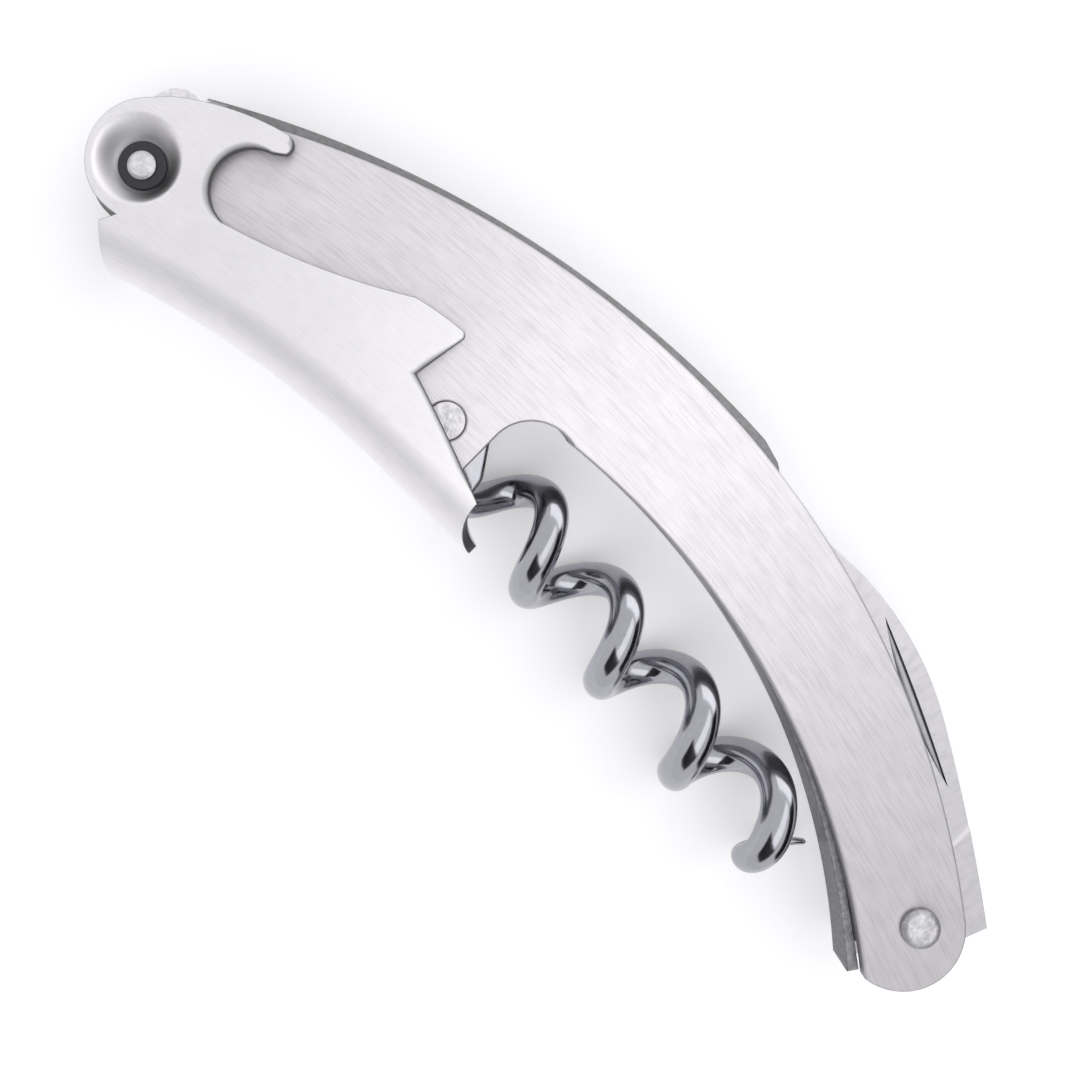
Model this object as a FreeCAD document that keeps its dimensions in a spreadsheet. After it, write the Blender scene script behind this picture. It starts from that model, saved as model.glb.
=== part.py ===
"""Lever corkscrew (waiter's friend), folded shut and lying on its side.

Layout, before the part is moved to its origin at the end: the origin is the lever pivot, X runs
to the knife pivot, Y towards the convex back of the handle, Z through the thickness, with Z = 0
in the middle of the centre layer.
"""
import FreeCAD, Part
import math
import os
import Sketcher
from FreeCAD import Vector

DRIVING_SIZES = {
    # layers through the thickness
    "core_thickness": 3.6,
    "plate_thickness": 1.6,
    "lever_sheet": 1.1,
    "lever_side_clearance": 0.15,
    "layer_clearance": 0.05,
    "blade_thickness": 3.4,
    "edge_bevel": 0.3,
    # pivots
    "worm_pivot_x": 39.2,
    "worm_pivot_y": 3.0,
    "knife_pivot_x": 107.8,
    "lever_pin_radius": 1.2,
    "worm_pin_radius": 1.95,
    "knife_pin_radius": 1.25,
    "pivot_clearance": 0.04,
    # handle outline: the back edge is two arcs that share a crown
    "crown_x": 53.8,
    "crown_y": 23.4,
    "back_head_radius": 101.5,
    "back_knife_radius": 92.0,
    "belly_crown_x": 57.74,
    "belly_crown_y": 10.39,
    "belly_radius": 78.8,
    "knife_end_x": 106.9,
    "knife_end_y": -1.3,
    "knife_end_belly_x": 107.7,
    "head_relief_radius": 5.4,
    "head_relief_x": 4.14,
    "arch_x": 48.66,
    "arch_y": 5.45,
    "arch_radius": 4.83,
    "arch_top_x": 50.15,
    "lug_corner": 0.8,
    "lug_corner_radius": 0.816,
    # folded boot lever: its half-round fold follows one arc, then runs straight to the foot
    "fold_crown_x": 37.0,
    "fold_crown_y": -0.6,
    "fold_axis_radius": 109.2,
    "fold_radius": 4.65,
    "fold_end_x": 51.2,
    "fold_lip_x": 1.1,
    "fold_lip_slope": 42.0,
    "fold_clearance": 0.3,
    "cheek_neck_x": 1.9,
    "cheek_neck_y": -5.09,
    "head_radius": 6.11,
    "head_left_x": -4.09,
    "head_left_y": 5.02,
    "head_top_x": -2.21,
    "head_top_y": 7.0,
    "hook_back_radius": 28.5,
    "hook_top_x": 8.3,
    "hook_top_y": 12.2,
    "hook_tip_x": 9.75,
    "hook_tip_y": 10.7,
    "hook_tip_radius": 1.12,
    "mouth_x": 9.81,
    "mouth_y": 5.79,
    "mouth_radius": 4.22,
    "mouth_top_x": 8.6,
    "blade_edge_radius": 74.68,
    "fang_root_x": 28.48,
    "fang_root_y": 9.6,
    "fang_back_radius": 30.0,
    "fang_tip_x": 34.1,
    "fang_tip_y": 10.5,
    "fang_tip_radius": 0.55,
    "fang_side_x": 34.78,
    "fang_side_y": 9.9,
    "notch_x": 33.82,
    "notch_y": 4.29,
    "cheek_end_radius": 150.5,
    "foot_x": 51.62,
    "foot_y": -0.74,
    "foot_radius": 4.63,
    # pressed bowl round the lever pivot
    "bowl_radius": 4.31,
    "bowl_shift_x": -0.4,
    "bowl_shift_y": 0.3,
    "bowl_floor_radius": 2.75,
    "bowl_floor_depth": 1.7,
    "bowl_wall": 0.45,
    "washer_radius": 2.45,
    "washer_thickness": 0.47,
    "washer_clearance": 0.03,
    "peen_radius": 1.45,
    "peen_height": 0.32,
    # centre spacer
    "spine_crown_x": 55.96,
    "spine_crown_y": 24.33,
    "spine_radius": 114.24,
    "spine_start_x": -0.6,
    "spine_end_x": 63.6,
    "spine_cut_x": 67.11,
    "spine_cut_y": 22.61,
    "spine_nose_x": 66.12,
    "spine_nose_y": 23.33,
    "bump_x": -1.36,
    "bump_y": 5.51,
    "bump_radius": 3.28,
    "heel_x": 0.0,
    "heel_y": -1.4,
    "heel_radius": 4.6,
    "heel_end_x": 2.0,
    "eye_relief": 0.3,
    "eye_relief_end": 40.0,
    "worm_stop_x": 32.7,
    "worm_stop_angle": 167.0,
    "arch_relief_end": 150.0,
    "spacer_wall_x": 50.6,
    "spacer_wall_top": 14.3,
    "spacer_step_clearance": 0.05,
    "spacer_pin_radius": 1.2,
    "spring_pin_radius": 1.2,
    # knife spring
    "spring_root_setback": 0.3,
    "spring_root_end_x": 66.4,
    "spring_outer_start_x": 67.0,
    "spring_outer_radius": 75.3,
    "spring_tip_x": 107.0,
    "spring_tip_y": -8.45,
    "spring_flat_before": 4.2,
    "spring_flat_after": 4.4,
    "spring_inner_radius": 92.0,
    "seat_clearance": 0.06,
    # knife
    "knife_corner_x": 114.15,
    "knife_corner_y": 4.55,
    "knife_back_radius": 189.9,
    "knife_belly_join_x": 96.0,
    "knife_belly_join_y": 16.79,
    "knife_nose_radius": 33.71,
    "knife_tip_radius": 16.855,
    "knife_nose_x": 76.7,
    "knife_nose_y": 21.23,
    "knife_point_x": 69.5,
    "knife_point_y": 19.6,
    "knife_edge_radius": 124.0,
    "knife_heel_x": 98.6,
    "knife_heel_y": 6.6,
    "knife_choil_x": 101.2,
    "knife_choil_y": 4.1,
    "tang_seat": 5.95,
    "tang_seat_angle": -127.0,
    "tang_seat_before": 2.9,
    "tang_seat_after": 1.7,
    "tang_radius": 4.6,
    "tang_under_angle": -68.0,
    "tang_end_x": 113.21,
    "tang_end_y": 2.17,
    "grind_depth": 0.15,
    "grind_end_x": 105.9,
    "edge_bevel_width": 3.2,
    "edge_bevel_depth": 1.3,
    "nick_start_x": 84.78,
    "nick_start_y": 19.84,
    "nick_end_x": 101.44,
    "nick_end_y": 11.95,
    "nick_inner_radius": 48.0,
    "nick_outer_radius": 200.0,
    "nick_depth": 0.6,
    # worm
    "worm_eye_radius": 4.8,
    "worm_tang_thickness": 3.5,
    "worm_wire_radius": 1.75,
    "worm_helix_radius": 3.8,
    "worm_pitch": 12.0,
    "worm_axis_angle": -6.4,
    "worm_axis_offset": 6.35,
    "worm_phase_start": 51.6,
    "worm_first_turn": -185.0,
    "worm_last_turn": 1352.0,
    "worm_point_turn": 182.0,
    "worm_point_lag": 1.0,
    "worm_lead_turn": 140.0,
    "worm_lead_radius": 3.2,
    "worm_lead_rise": 1.0,
    "worm_point_radius": 0.25,
    "worm_path_step": 30.0,
    "worm_tang_heel_x": 44.9,
    "worm_tang_heel_y": -1.5,
    "worm_tang_shoulder_x": 44.6,
    "worm_tang_shoulder_y": 0.6,
    "worm_tang_heel_radius": 1.6,
    # rivet heads and places
    "knife_head_radius": 2.0,
    "knife_head_height": 0.7,
    "knife_head_round": 0.35,
    "spacer_pin_a_x": 14.5,
    "spacer_pin_a_y": 0.2,
    "spacer_pin_b_x": 26.5,
    "spacer_pin_b_y": 4.8,
    "spring_pin_a_x": 53.9,
    "spring_pin_b_x": 62.5,
    "spring_pin_y": 12.25,
}

document = FreeCAD.newDocument("LeverCorkscrew")
sheet = document.addObject("Spreadsheet::Sheet", "Sizes")
for row, (size_name, size_value) in enumerate(DRIVING_SIZES.items(), start=1):
    sheet.set("A%d" % row, size_name)
    sheet.set("B%d" % row, str(size_value))
    sheet.setAlias("B%d" % row, size_name)
document.recompute()


class Size:
    """A length that is known both as a number and as an expression on the spreadsheet."""

    def __init__(self, value, text):
        self.value = value
        self.text = text

    def __add__(self, other):
        other = as_size(other)
        return Size(self.value + other.value, "(%s + %s)" % (self.text, other.text))

    def __radd__(self, other):
        return as_size(other) + self

    def __sub__(self, other):
        other = as_size(other)
        return Size(self.value - other.value, "(%s - %s)" % (self.text, other.text))

    def __rsub__(self, other):
        return as_size(other) - self

    def __mul__(self, other):
        other = as_size(other)
        return Size(self.value * other.value, "(%s * %s)" % (self.text, other.text))

    def __rmul__(self, other):
        return as_size(other) * self

    def __truediv__(self, other):
        other = as_size(other)
        return Size(self.value / other.value, "(%s / %s)" % (self.text, other.text))

    def __neg__(self):
        return Size(-self.value, "(-1 * %s)" % self.text)


def as_size(value):
    return value if isinstance(value, Size) else Size(float(value), repr(float(value)))


def size(name):
    """The named cell of the spreadsheet."""
    return Size(float(sheet.get(name)), "Sizes.%s" % name)


def root(area):
    return Size(math.sqrt(area.value), "sqrt(%s)" % area.text)


def cosine(angle):
    angle = as_size(angle)
    return Size(math.cos(math.radians(angle.value)), "cos(%s)" % angle.text)


def sine(angle):
    angle = as_size(angle)
    return Size(math.sin(math.radians(angle.value)), "sin(%s)" % angle.text)


def crown_height(crown_x, crown_y, radius, x):
    """Height at x of the arc that has its top at the crown."""
    across = as_size(x) - crown_x
    return crown_y - radius + root(radius * radius - across * across)


def around(centre_x, centre_y, radius, angle):
    """The point of a circle at an angle in degrees from +X."""
    return centre_x + radius * cosine(angle), centre_y + radius * sine(angle)


def round_height(centre_x, centre_y, radius, x):
    """Height at x of the upper half of a circle."""
    across = as_size(x) - centre_x
    return centre_y + root(radius * radius - across * across)


# ---------------------------------------------------------------- building helpers

def origin_plane(body, role):
    return [item for item in body.Origin.OriginFeatures if item.Role == role][0]


def new_sketch(body, name, role="XY_Plane", lift=None):
    """An empty sketch on one of the body's origin planes, lifted off it along its normal."""
    sketch = body.newObject("Sketcher::SketchObject", name)
    sketch.AttachmentSupport = [(origin_plane(body, role), "")]
    sketch.MapMode = "FlatFace"
    if lift is not None:
        sketch.setExpression("AttachmentOffset.Base.z", as_size(lift).text)
    return sketch


def hold_point(sketch, curve, end, x, y):
    """Fixes a curve's start (1), end (2) or centre (3) at two sizes."""
    for axis, place in (("DistanceX", as_size(x)), ("DistanceY", as_size(y))):
        held = sketch.addConstraint(Sketcher.Constraint(axis, -1, 1, curve, end, place.value))
        sketch.setExpression("Constraints[%d]" % held, place.text)


def draw_circle(sketch, x, y, radius):
    x, y, radius = as_size(x), as_size(y), as_size(radius)
    circle = Part.Circle(Vector(x.value, y.value, 0), Vector(0, 0, 1), radius.value)
    curve = sketch.addGeometry(circle, False)
    held = sketch.addConstraint(Sketcher.Constraint("Radius", curve, radius.value))
    sketch.setExpression("Constraints[%d]" % held, radius.text)
    hold_point(sketch, curve, 3, x, y)


def arc_between(start, end, radius):
    """Arc of less than half a turn; a positive radius has its centre left of start to end."""
    chord = end - start
    left = Vector(-chord.y, chord.x, 0).normalize()
    rise = math.sqrt(max(radius * radius - chord.Length ** 2 / 4, 0.0))
    side = 1 if radius > 0 else -1
    centre = (start + end) / 2 + left * (rise * side)
    circle = Part.Circle(centre, Vector(0, 0, 1), abs(radius))
    first, last = (start, end) if radius > 0 else (end, start)
    angles = [math.atan2(point.y - centre.y, point.x - centre.x) for point in (first, last)]
    return Part.ArcOfCircle(circle, angles[0], angles[1])


def draw_outline(sketch, corners):
    """Closed outline, anticlockwise. Each corner is x, y and the radius of the arc to the next
    corner: None for a straight line, positive for an arc that bulges outwards."""
    places = [(as_size(corner[0]), as_size(corner[1])) for corner in corners]
    count = len(corners)
    for index, (x, y) in enumerate(places):
        next_x, next_y = places[(index + 1) % count]
        start = Vector(x.value, y.value, 0)
        end = Vector(next_x.value, next_y.value, 0)
        radius = corners[index][2]
        if radius is None:
            sketch.addGeometry(Part.LineSegment(start, end), False)
        else:
            sketch.addGeometry(arc_between(start, end, as_size(radius).value), False)
    for index, corner in enumerate(corners):
        following = (index + 1) % count
        radius = corner[2]
        arrives = 1 if radius is not None and as_size(radius).value < 0 else 2
        next_radius = corners[following][2]
        leaves = 2 if next_radius is not None and as_size(next_radius).value < 0 else 1
        sketch.addConstraint(Sketcher.Constraint("Coincident", index, arrives, following, leaves))
    for index, (x, y) in enumerate(places):
        radius = corners[index][2]
        leaves = 2 if radius is not None and as_size(radius).value < 0 else 1
        hold_point(sketch, index, leaves, x, y)
        if radius is not None:
            length = as_size(radius)
            if length.value < 0:
                length = -length
            held = sketch.addConstraint(Sketcher.Constraint("Radius", index, length.value))
            sketch.setExpression("Constraints[%d]" % held, length.text)


def pad(body, name, sketch, length, middle=False):
    feature = body.newObject("PartDesign::Pad", name)
    feature.Profile = sketch
    feature.SideType = "Symmetric" if middle else "One side"
    feature.setExpression("Length", as_size(length).text)
    body.Tip = feature
    return feature


def pocket(body, name, sketch, length, middle=False, reverse=False):
    feature = body.newObject("PartDesign::Pocket", name)
    feature.Profile = sketch
    feature.SideType = "Symmetric" if middle else "One side"
    feature.Reversed = reverse
    feature.setExpression("Length", as_size(length).text)
    body.Tip = feature
    return feature


def new_body(name):
    body = document.addObject("PartDesign::Body", name)
    body.Label = name
    return body


# ---------------------------------------------------------------- sizes that follow

core_half = size("core_thickness") / 2
plate_outer = core_half + size("plate_thickness")
cheek_inner = plate_outer + size("lever_side_clearance")
cheek_outer = cheek_inner + size("lever_sheet")
pivot_hole = size("lever_pin_radius") + size("pivot_clearance")
worm_x, worm_y = size("worm_pivot_x"), size("worm_pivot_y")
knife_x = size("knife_pivot_x")
end_x, end_y = size("knife_end_x"), size("knife_end_y")

# The knife end is round and runs tangent into the back arc.
back_centre_y = size("crown_y") - size("back_knife_radius")
end_reach_x = end_x - size("crown_x")
end_reach_y = end_y - back_centre_y
end_reach = root(end_reach_x * end_reach_x + end_reach_y * end_reach_y)
knife_end_radius = size("back_knife_radius") - end_reach
tangent_x = end_x + knife_end_radius * end_reach_x / end_reach
tangent_y = end_y + knife_end_radius * end_reach_y / end_reach


def back_head_height(x):
    return crown_height(size("crown_x"), size("crown_y"), size("back_head_radius"), x)


def belly_height(x, setback=0.0):
    """The belly edge of the handle, or a line set back from it into the handle."""
    crown_y = size("belly_crown_y") + setback
    return crown_height(size("belly_crown_x"), crown_y, size("belly_radius") + setback, x)


def lug_height(x):
    """Edge of the handle over the lever's fold: the same centre as the fold."""
    crown_y = size("fold_crown_y") + size("fold_clearance")
    radius = size("fold_axis_radius") + size("fold_clearance")
    return crown_height(size("fold_crown_x"), crown_y, radius, x)


def seat_point(lift, along):
    """Point on the flat where the closed knife's tang bears on its spring, or lifted off it."""
    angle = size("tang_seat_angle")
    foot = around(knife_x, 0.0, size("tang_seat") + lift, angle)
    return foot[0] - as_size(along) * sine(angle), foot[1] + as_size(along) * cosine(angle)


lug_radius = size("fold_axis_radius") + size("fold_clearance")

SPACER_PINS = [("spacer_pin_a_x", "spacer_pin_a_y"), ("spacer_pin_b_x", "spacer_pin_b_y")]
SPRING_PINS = [("spring_pin_a_x", "spring_pin_y"), ("spring_pin_b_x", "spring_pin_y")]


def draw_pins(sketch, places, radius):
    for x_name, y_name in places:
        draw_circle(sketch, size(x_name), size(y_name), radius)


# ---------------------------------------------------------------- sub-parts

def side_plate(name, front):
    """Outer handle plate with bevelled outer edges and an arch over the start of the worm."""
    body = new_body(name)
    relief = size("head_relief_radius")
    relief_x = size("head_relief_x")
    relief_y = root(relief * relief - relief_x * relief_x)
    corner = size("lug_corner")
    lug_x = size("arch_x") - size("arch_radius")
    arch_top = size("arch_top_x")
    outline = [
        (relief_x, lug_height(relief_x), -lug_radius),
        (lug_x - corner, lug_height(lug_x - corner), size("lug_corner_radius")),
        (lug_x, lug_height(lug_x - corner) + corner, None),
        (lug_x, size("arch_y"), -size("arch_radius")),
        (arch_top, belly_height(arch_top), -size("belly_radius")),
        (size("knife_end_belly_x"), belly_height(size("knife_end_belly_x")), knife_end_radius),
        (tangent_x, tangent_y, size("back_knife_radius")),
        (size("crown_x"), size("crown_y"), size("back_head_radius")),
        (relief_x, back_head_height(relief_x), None),
        (relief_x, relief_y, -relief),
        (relief_x, -relief_y, None),
    ]
    side = 1 if front else -1
    lift = core_half if front else -plate_outer
    sketch = new_sketch(body, name + "_outline", lift=lift)
    draw_outline(sketch, outline)
    draw_circle(sketch, worm_x, worm_y, size("worm_pin_radius"))
    draw_circle(sketch, knife_x, 0, size("knife_pin_radius"))
    draw_pins(sketch, SPACER_PINS, size("spacer_pin_radius"))
    draw_pins(sketch, SPRING_PINS, size("spring_pin_radius"))
    blank = pad(body, name + "_pad", sketch, size("plate_thickness"))
    document.recompute()
    outer = plate_outer.value * side
    edges = []
    for index, edge in enumerate(blank.Shape.Edges, start=1):
        flat = all(abs(vertex.Z - outer) < 1e-6 for vertex in edge.Vertexes)
        relieved = all(vertex.X < relief_x.value + 0.01 for vertex in edge.Vertexes)
        if flat and not relieved:
            edges.append("Edge%d" % index)
    bevel = body.newObject("PartDesign::Chamfer", name + "_edge")
    bevel.Base = (blank, edges)
    bevel.setExpression("Size", "Sizes.edge_bevel")
    body.Tip = bevel
    return body


def centre_spacer():
    """Core plate: it stands proud along the back, ends at the knife's slot and is cut away
    round the worm's eye so that the worm can swing out of the belly."""
    body = new_body("centre_spacer")
    eye = size("worm_eye_radius") + size("eye_relief")
    stop_x = size("worm_stop_x")
    eye_end = around(worm_x, worm_y, eye, size("eye_relief_end"))
    arch = size("arch_radius") + size("spring_root_setback")
    arch_start = around(size("arch_x"), size("arch_y"), arch, size("arch_relief_end"))
    wall_x = size("spacer_wall_x")
    wall_top = size("spacer_wall_top")
    step_radius = size("belly_radius") + (wall_top - size("belly_crown_y"))
    cut_x = size("spine_cut_x")
    step_y = crown_height(size("belly_crown_x"), wall_top, step_radius, cut_x)
    wall_y = crown_height(size("belly_crown_x"), wall_top, step_radius, wall_x)
    start_x = size("spine_start_x")
    spine = (size("spine_crown_x"), size("spine_crown_y"), size("spine_radius"))
    bump_x, bump_y = size("bump_x"), size("bump_y")
    bump = size("bump_radius")
    heel_x, heel_y = size("heel_x"), size("heel_y")
    heel = size("heel_radius")
    heel_end = size("heel_end_x")
    outline = [
        (heel_x, heel_y - heel, None),
        (heel_end, lug_height(heel_end), -lug_radius),
        (stop_x, lug_height(stop_x), None),
        around(worm_x, worm_y, eye, size("worm_stop_angle")) + (-eye,),
        eye_end + (None,),
        arch_start + (-arch,),
        (wall_x, round_height(size("arch_x"), size("arch_y"), arch, wall_x), None),
        (wall_x, wall_y, -step_radius),
        (cut_x, step_y, None),
        (cut_x, size("spine_cut_y"), None),
        (size("spine_nose_x"), size("spine_nose_y"), None),
        (size("spine_end_x"), crown_height(*spine, size("spine_end_x")), size("spine_radius")),
        (start_x, crown_height(*spine, start_x), None),
        (start_x, round_height(bump_x, bump_y, bump, start_x), bump),
        (bump_x - bump, bump_y, None),
        (heel_x - heel, heel_y, heel),
    ]
    sketch = new_sketch(body, "centre_spacer_outline")
    draw_outline(sketch, outline)
    pad(body, "centre_spacer_pad", sketch, size("core_thickness"), middle=True)
    holes = new_sketch(body, "centre_spacer_holes")
    draw_circle(holes, 0, 0, pivot_hole)
    draw_pins(holes, SPACER_PINS, size("spacer_pin_radius"))
    pocket(body, "centre_spacer_bore", holes, size("core_thickness") * 2, middle=True)
    return body


def knife_spring():
    """Leaf spring under the knife: a riveted root, then an arm that narrows to its tip."""
    body = new_body("knife_spring")
    setback = size("spring_root_setback")
    root_x = size("spacer_wall_x") + size("spacer_step_clearance")
    root_end = size("spring_root_end_x")
    top = size("spacer_wall_top") - size("spacer_step_clearance")
    top_radius = size("belly_radius") + (top - size("belly_crown_y"))
    belly = (size("belly_crown_x"), top, top_radius)
    outer_x = size("spring_outer_start_x")
    outline = [
        (root_x, belly_height(root_x, setback), -(size("belly_radius") + setback)),
        (outer_x, belly_height(outer_x, setback), -size("spring_outer_radius")),
        (size("spring_tip_x"), size("spring_tip_y"), None),
        seat_point(size("seat_clearance"), size("spring_flat_after")) + (None,),
        seat_point(size("seat_clearance"), -size("spring_flat_before"))
        + (size("spring_inner_radius"),),
        (root_end, crown_height(*belly, root_end), top_radius),
        (root_x, crown_height(*belly, root_x), None),
    ]
    sketch = new_sketch(body, "knife_spring_outline")
    draw_outline(sketch, outline)
    thickness = size("core_thickness") - size("layer_clearance")
    pad(body, "knife_spring_pad", sketch, thickness, middle=True)
    holes = new_sketch(body, "knife_spring_holes")
    draw_pins(holes, SPRING_PINS, size("spring_pin_radius"))
    pocket(body, "knife_spring_bore", holes, size("core_thickness") * 2, middle=True)
    return body


def knife_blade():
    """Foil knife: a square tang round the pivot, a proud spine and two bevels to the edge."""
    body = new_body("knife_blade")
    tang = size("tang_radius")
    outline = [
        (size("knife_point_x"), size("knife_point_y"), -size("knife_edge_radius")),
        (size("knife_heel_x"), size("knife_heel_y"), None),
        (size("knife_choil_x"), size("knife_choil_y"), None),
        seat_point(0.0, -size("tang_seat_before")) + (None,),
        seat_point(0.0, size("tang_seat_after")) + (None,),
        around(knife_x, 0.0, tang, size("tang_under_angle")) + (tang,),
        around(knife_x, 0.0, tang, 0.0) + (None,),
        (size("tang_end_x"), size("tang_end_y"), None),
        (size("knife_corner_x"), size("knife_corner_y"), size("knife_back_radius")),
        (size("knife_belly_join_x"), size("knife_belly_join_y"), size("knife_nose_radius")),
        (size("knife_nose_x"), size("knife_nose_y"), size("knife_tip_radius")),
    ]
    sketch = new_sketch(body, "knife_blade_outline")
    draw_outline(sketch, outline)
    blank = pad(body, "knife_blade_pad", sketch, size("blade_thickness"), middle=True)
    document.recompute()
    grind_edge(body, blank)
    hole = new_sketch(body, "knife_blade_hole")
    draw_circle(hole, knife_x, 0, size("knife_pin_radius") + size("pivot_clearance"))
    pocket(body, "knife_blade_bore", hole, size("core_thickness") * 2, middle=True)
    grind_faces(body)
    nick = new_sketch(body, "knife_blade_nick", lift=size("blade_thickness") / 2)
    start = (size("nick_start_x"), size("nick_start_y"))
    finish = (size("nick_end_x"), size("nick_end_y"))
    draw_outline(nick, [finish + (size("nick_outer_radius"),), start + (size("nick_inner_radius"),)])
    pocket(body, "knife_blade_nail_nick", nick, size("nick_depth"))
    return body


def grind_edge(body, blank):
    """Two wide bevels that meet the cutting edge, one from each face."""
    middle_x = (size("knife_point_x") + size("knife_heel_x")).value / 2
    rims = []
    for index, edge in enumerate(blank.Shape.Edges, start=1):
        box = edge.BoundBox
        spans = box.XMin < middle_x < box.XMax and box.YMax <= size("knife_point_y").value + 1e-6
        if spans and box.ZLength < 1e-6 and box.YMin < size("knife_heel_y").value + 1e-6:
            rims.append("Edge%d" % index)
    bevel = body.newObject("PartDesign::Chamfer", "knife_blade_edge")
    bevel.Base = (blank, rims)
    bevel.ChamferType = "Two distances"
    bevel.FlipDirection = True
    bevel.setExpression("Size", "Sizes.edge_bevel_width")
    bevel.setExpression("Size2", "Sizes.edge_bevel_depth")
    body.Tip = bevel
    document.recompute()


def grind_faces(body):
    """Both faces are ground a little thinner from the plunge line to the point."""
    end_x = size("grind_end_x")
    point_x = size("knife_point_x") - size("blade_thickness")
    low_y, high_y = -size("tang_radius"), size("spine_crown_y")
    half = size("blade_thickness") / 2
    for side, name in ((1, "front"), (-1, "rear")):
        sketch = new_sketch(body, name + "_grind", lift=half * side)
        draw_outline(sketch, [(point_x, low_y, None), (end_x, low_y, None),
                              (end_x, high_y, None), (point_x, high_y, None)])
        pocket(body, name + "_grind_cut", sketch, size("grind_depth"), reverse=side < 0)


def boot_lever():
    """Folded sheet lever: two cheeks joined by a half-round fold under the handle, a pressed
    bowl at the pivot, a bottle-opener mouth and a concave foot."""
    body = new_body("boot_lever")
    axis_radius = size("fold_axis_radius")
    crown_x, crown_y = size("fold_crown_x"), size("fold_crown_y")
    lip_x = size("fold_lip_x")
    lip_y = crown_height(crown_x, crown_y, axis_radius, lip_x)
    mouth = (size("mouth_x"), size("mouth_y"), size("mouth_radius"))
    mouth_top = size("mouth_top_x")
    foot_drop = crown_y - size("foot_y")
    foot = size("foot_radius")
    cheek_end_x = size("foot_x") - root(foot * foot - foot_drop * foot_drop)
    outline = [
        (lip_x, lip_y, -axis_radius),
        (crown_x, crown_y, None),
        (cheek_end_x, crown_y, size("cheek_end_radius")),
        (size("notch_x"), size("notch_y"), None),
        (size("fang_side_x"), size("fang_side_y"), size("fang_tip_radius")),
        (size("fang_tip_x"), size("fang_tip_y"), size("fang_back_radius")),
        (size("fang_root_x"), size("fang_root_y"), -size("blade_edge_radius")),
        (mouth[0], mouth[1] - mouth[2], -mouth[2]),
        (mouth_top, round_height(*mouth, mouth_top), None),
        (size("hook_tip_x"), size("hook_tip_y"), size("hook_tip_radius")),
        (size("hook_top_x"), size("hook_top_y"), size("hook_back_radius")),
        (size("head_top_x"), size("head_top_y"), None),
        (size("head_left_x"), size("head_left_y"), size("head_radius")),
        (size("cheek_neck_x"), size("cheek_neck_y"), None),
    ]
    for name, lift in (("front_cheek", cheek_inner), ("rear_cheek", -cheek_outer)):
        sketch = new_sketch(body, name + "_outline", lift=lift)
        draw_outline(sketch, outline)
        pad(body, name, sketch, size("lever_sheet"))
    add_fold(body)
    add_bowls(body)
    cut_fold_ends(body, lip_x, lip_y)
    return body


def add_fold(body):
    """Half-round channel: turned about the centre of the fold's arc, then straight to the foot."""
    crown_x, crown_y = size("fold_crown_x"), size("fold_crown_y")
    outer = size("fold_radius")
    inner = outer - size("lever_sheet")
    section = new_sketch(body, "fold_section", "YZ_Plane", lift=crown_x)
    draw_outline(section, [
        (crown_y, outer, outer),
        (crown_y - outer, 0.0, outer),
        (crown_y, -outer, None),
        (crown_y, -inner, -inner),
        (crown_y - inner, 0.0, -inner),
        (crown_y, inner, None),
    ])
    centre_y = crown_y - size("fold_axis_radius")
    low, high = Vector(centre_y.value, -1, 0), Vector(centre_y.value, 1, 0)
    hinge = section.addGeometry(Part.LineSegment(low, high), True)
    hold_point(section, hinge, 1, centre_y, -1.0)
    hold_point(section, hinge, 2, centre_y, 1.0)
    turned = body.newObject("PartDesign::Revolution", "fold_turned")
    turned.Profile = section
    turned.ReferenceAxis = (section, ["Axis0"])
    turned.setExpression("Angle", "asin(Sizes.fold_crown_x / Sizes.fold_axis_radius)")
    body.Tip = turned
    straight = pad(body, "fold_straight", section, size("fold_end_x") - crown_x)
    return turned, straight


def add_bowls(body):
    """Each cheek is pressed inwards to a flat floor that bears on the centre spacer."""
    rim = (size("bowl_shift_x"), size("bowl_shift_y"), size("bowl_radius"))
    floor_top = cheek_outer - size("bowl_floor_depth")
    floor_under = core_half + size("layer_clearance")
    wall = size("bowl_wall")
    for side, name in ((1, "front"), (-1, "rear")):
        skin = (("outer", "PartDesign::AdditiveLoft", cheek_inner, floor_under, wall),
                ("inner", "PartDesign::SubtractiveLoft", cheek_outer, floor_top, 0.0))
        for part_name, kind, rim_lift, floor_lift, extra in skin:
            label = "%s_bowl_%s" % (name, part_name)
            wide = new_sketch(body, label + "_rim", lift=rim_lift * side)
            draw_circle(wide, rim[0], rim[1], rim[2] + extra)
            narrow = new_sketch(body, label + "_floor", lift=floor_lift * side)
            draw_circle(narrow, 0, 0, size("bowl_floor_radius") + extra)
            loft = body.newObject(kind, label)
            loft.Profile = wide
            loft.Sections = [narrow]
            body.Tip = loft
    hole = new_sketch(body, "boot_lever_hole")
    draw_circle(hole, 0, 0, pivot_hole)
    pocket(body, "boot_lever_bore", hole, cheek_outer * 2, middle=True)


def cut_fold_ends(body, lip_x, lip_y):
    """The fold ends in a slanted lip near the pivot and in a concave foot at the other end."""
    reach = size("fold_radius") * 2
    slant = size("fold_lip_slope")
    low_x, low_y = lip_x + reach * sine(slant), lip_y - reach * cosine(slant)
    lip = new_sketch(body, "fold_lip")
    draw_outline(lip, [(lip_x, lip_y, None), (lip_x - reach, lip_y, None),
                       (lip_x - reach, low_y, None), (low_x, low_y, None)])
    pocket(body, "fold_lip_cut", lip, cheek_outer * 2, middle=True)
    foot = new_sketch(body, "fold_foot")
    draw_circle(foot, size("foot_x"), size("foot_y"), size("foot_radius"))
    pocket(body, "fold_foot_cut", foot, cheek_outer * 2, middle=True)


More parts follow.
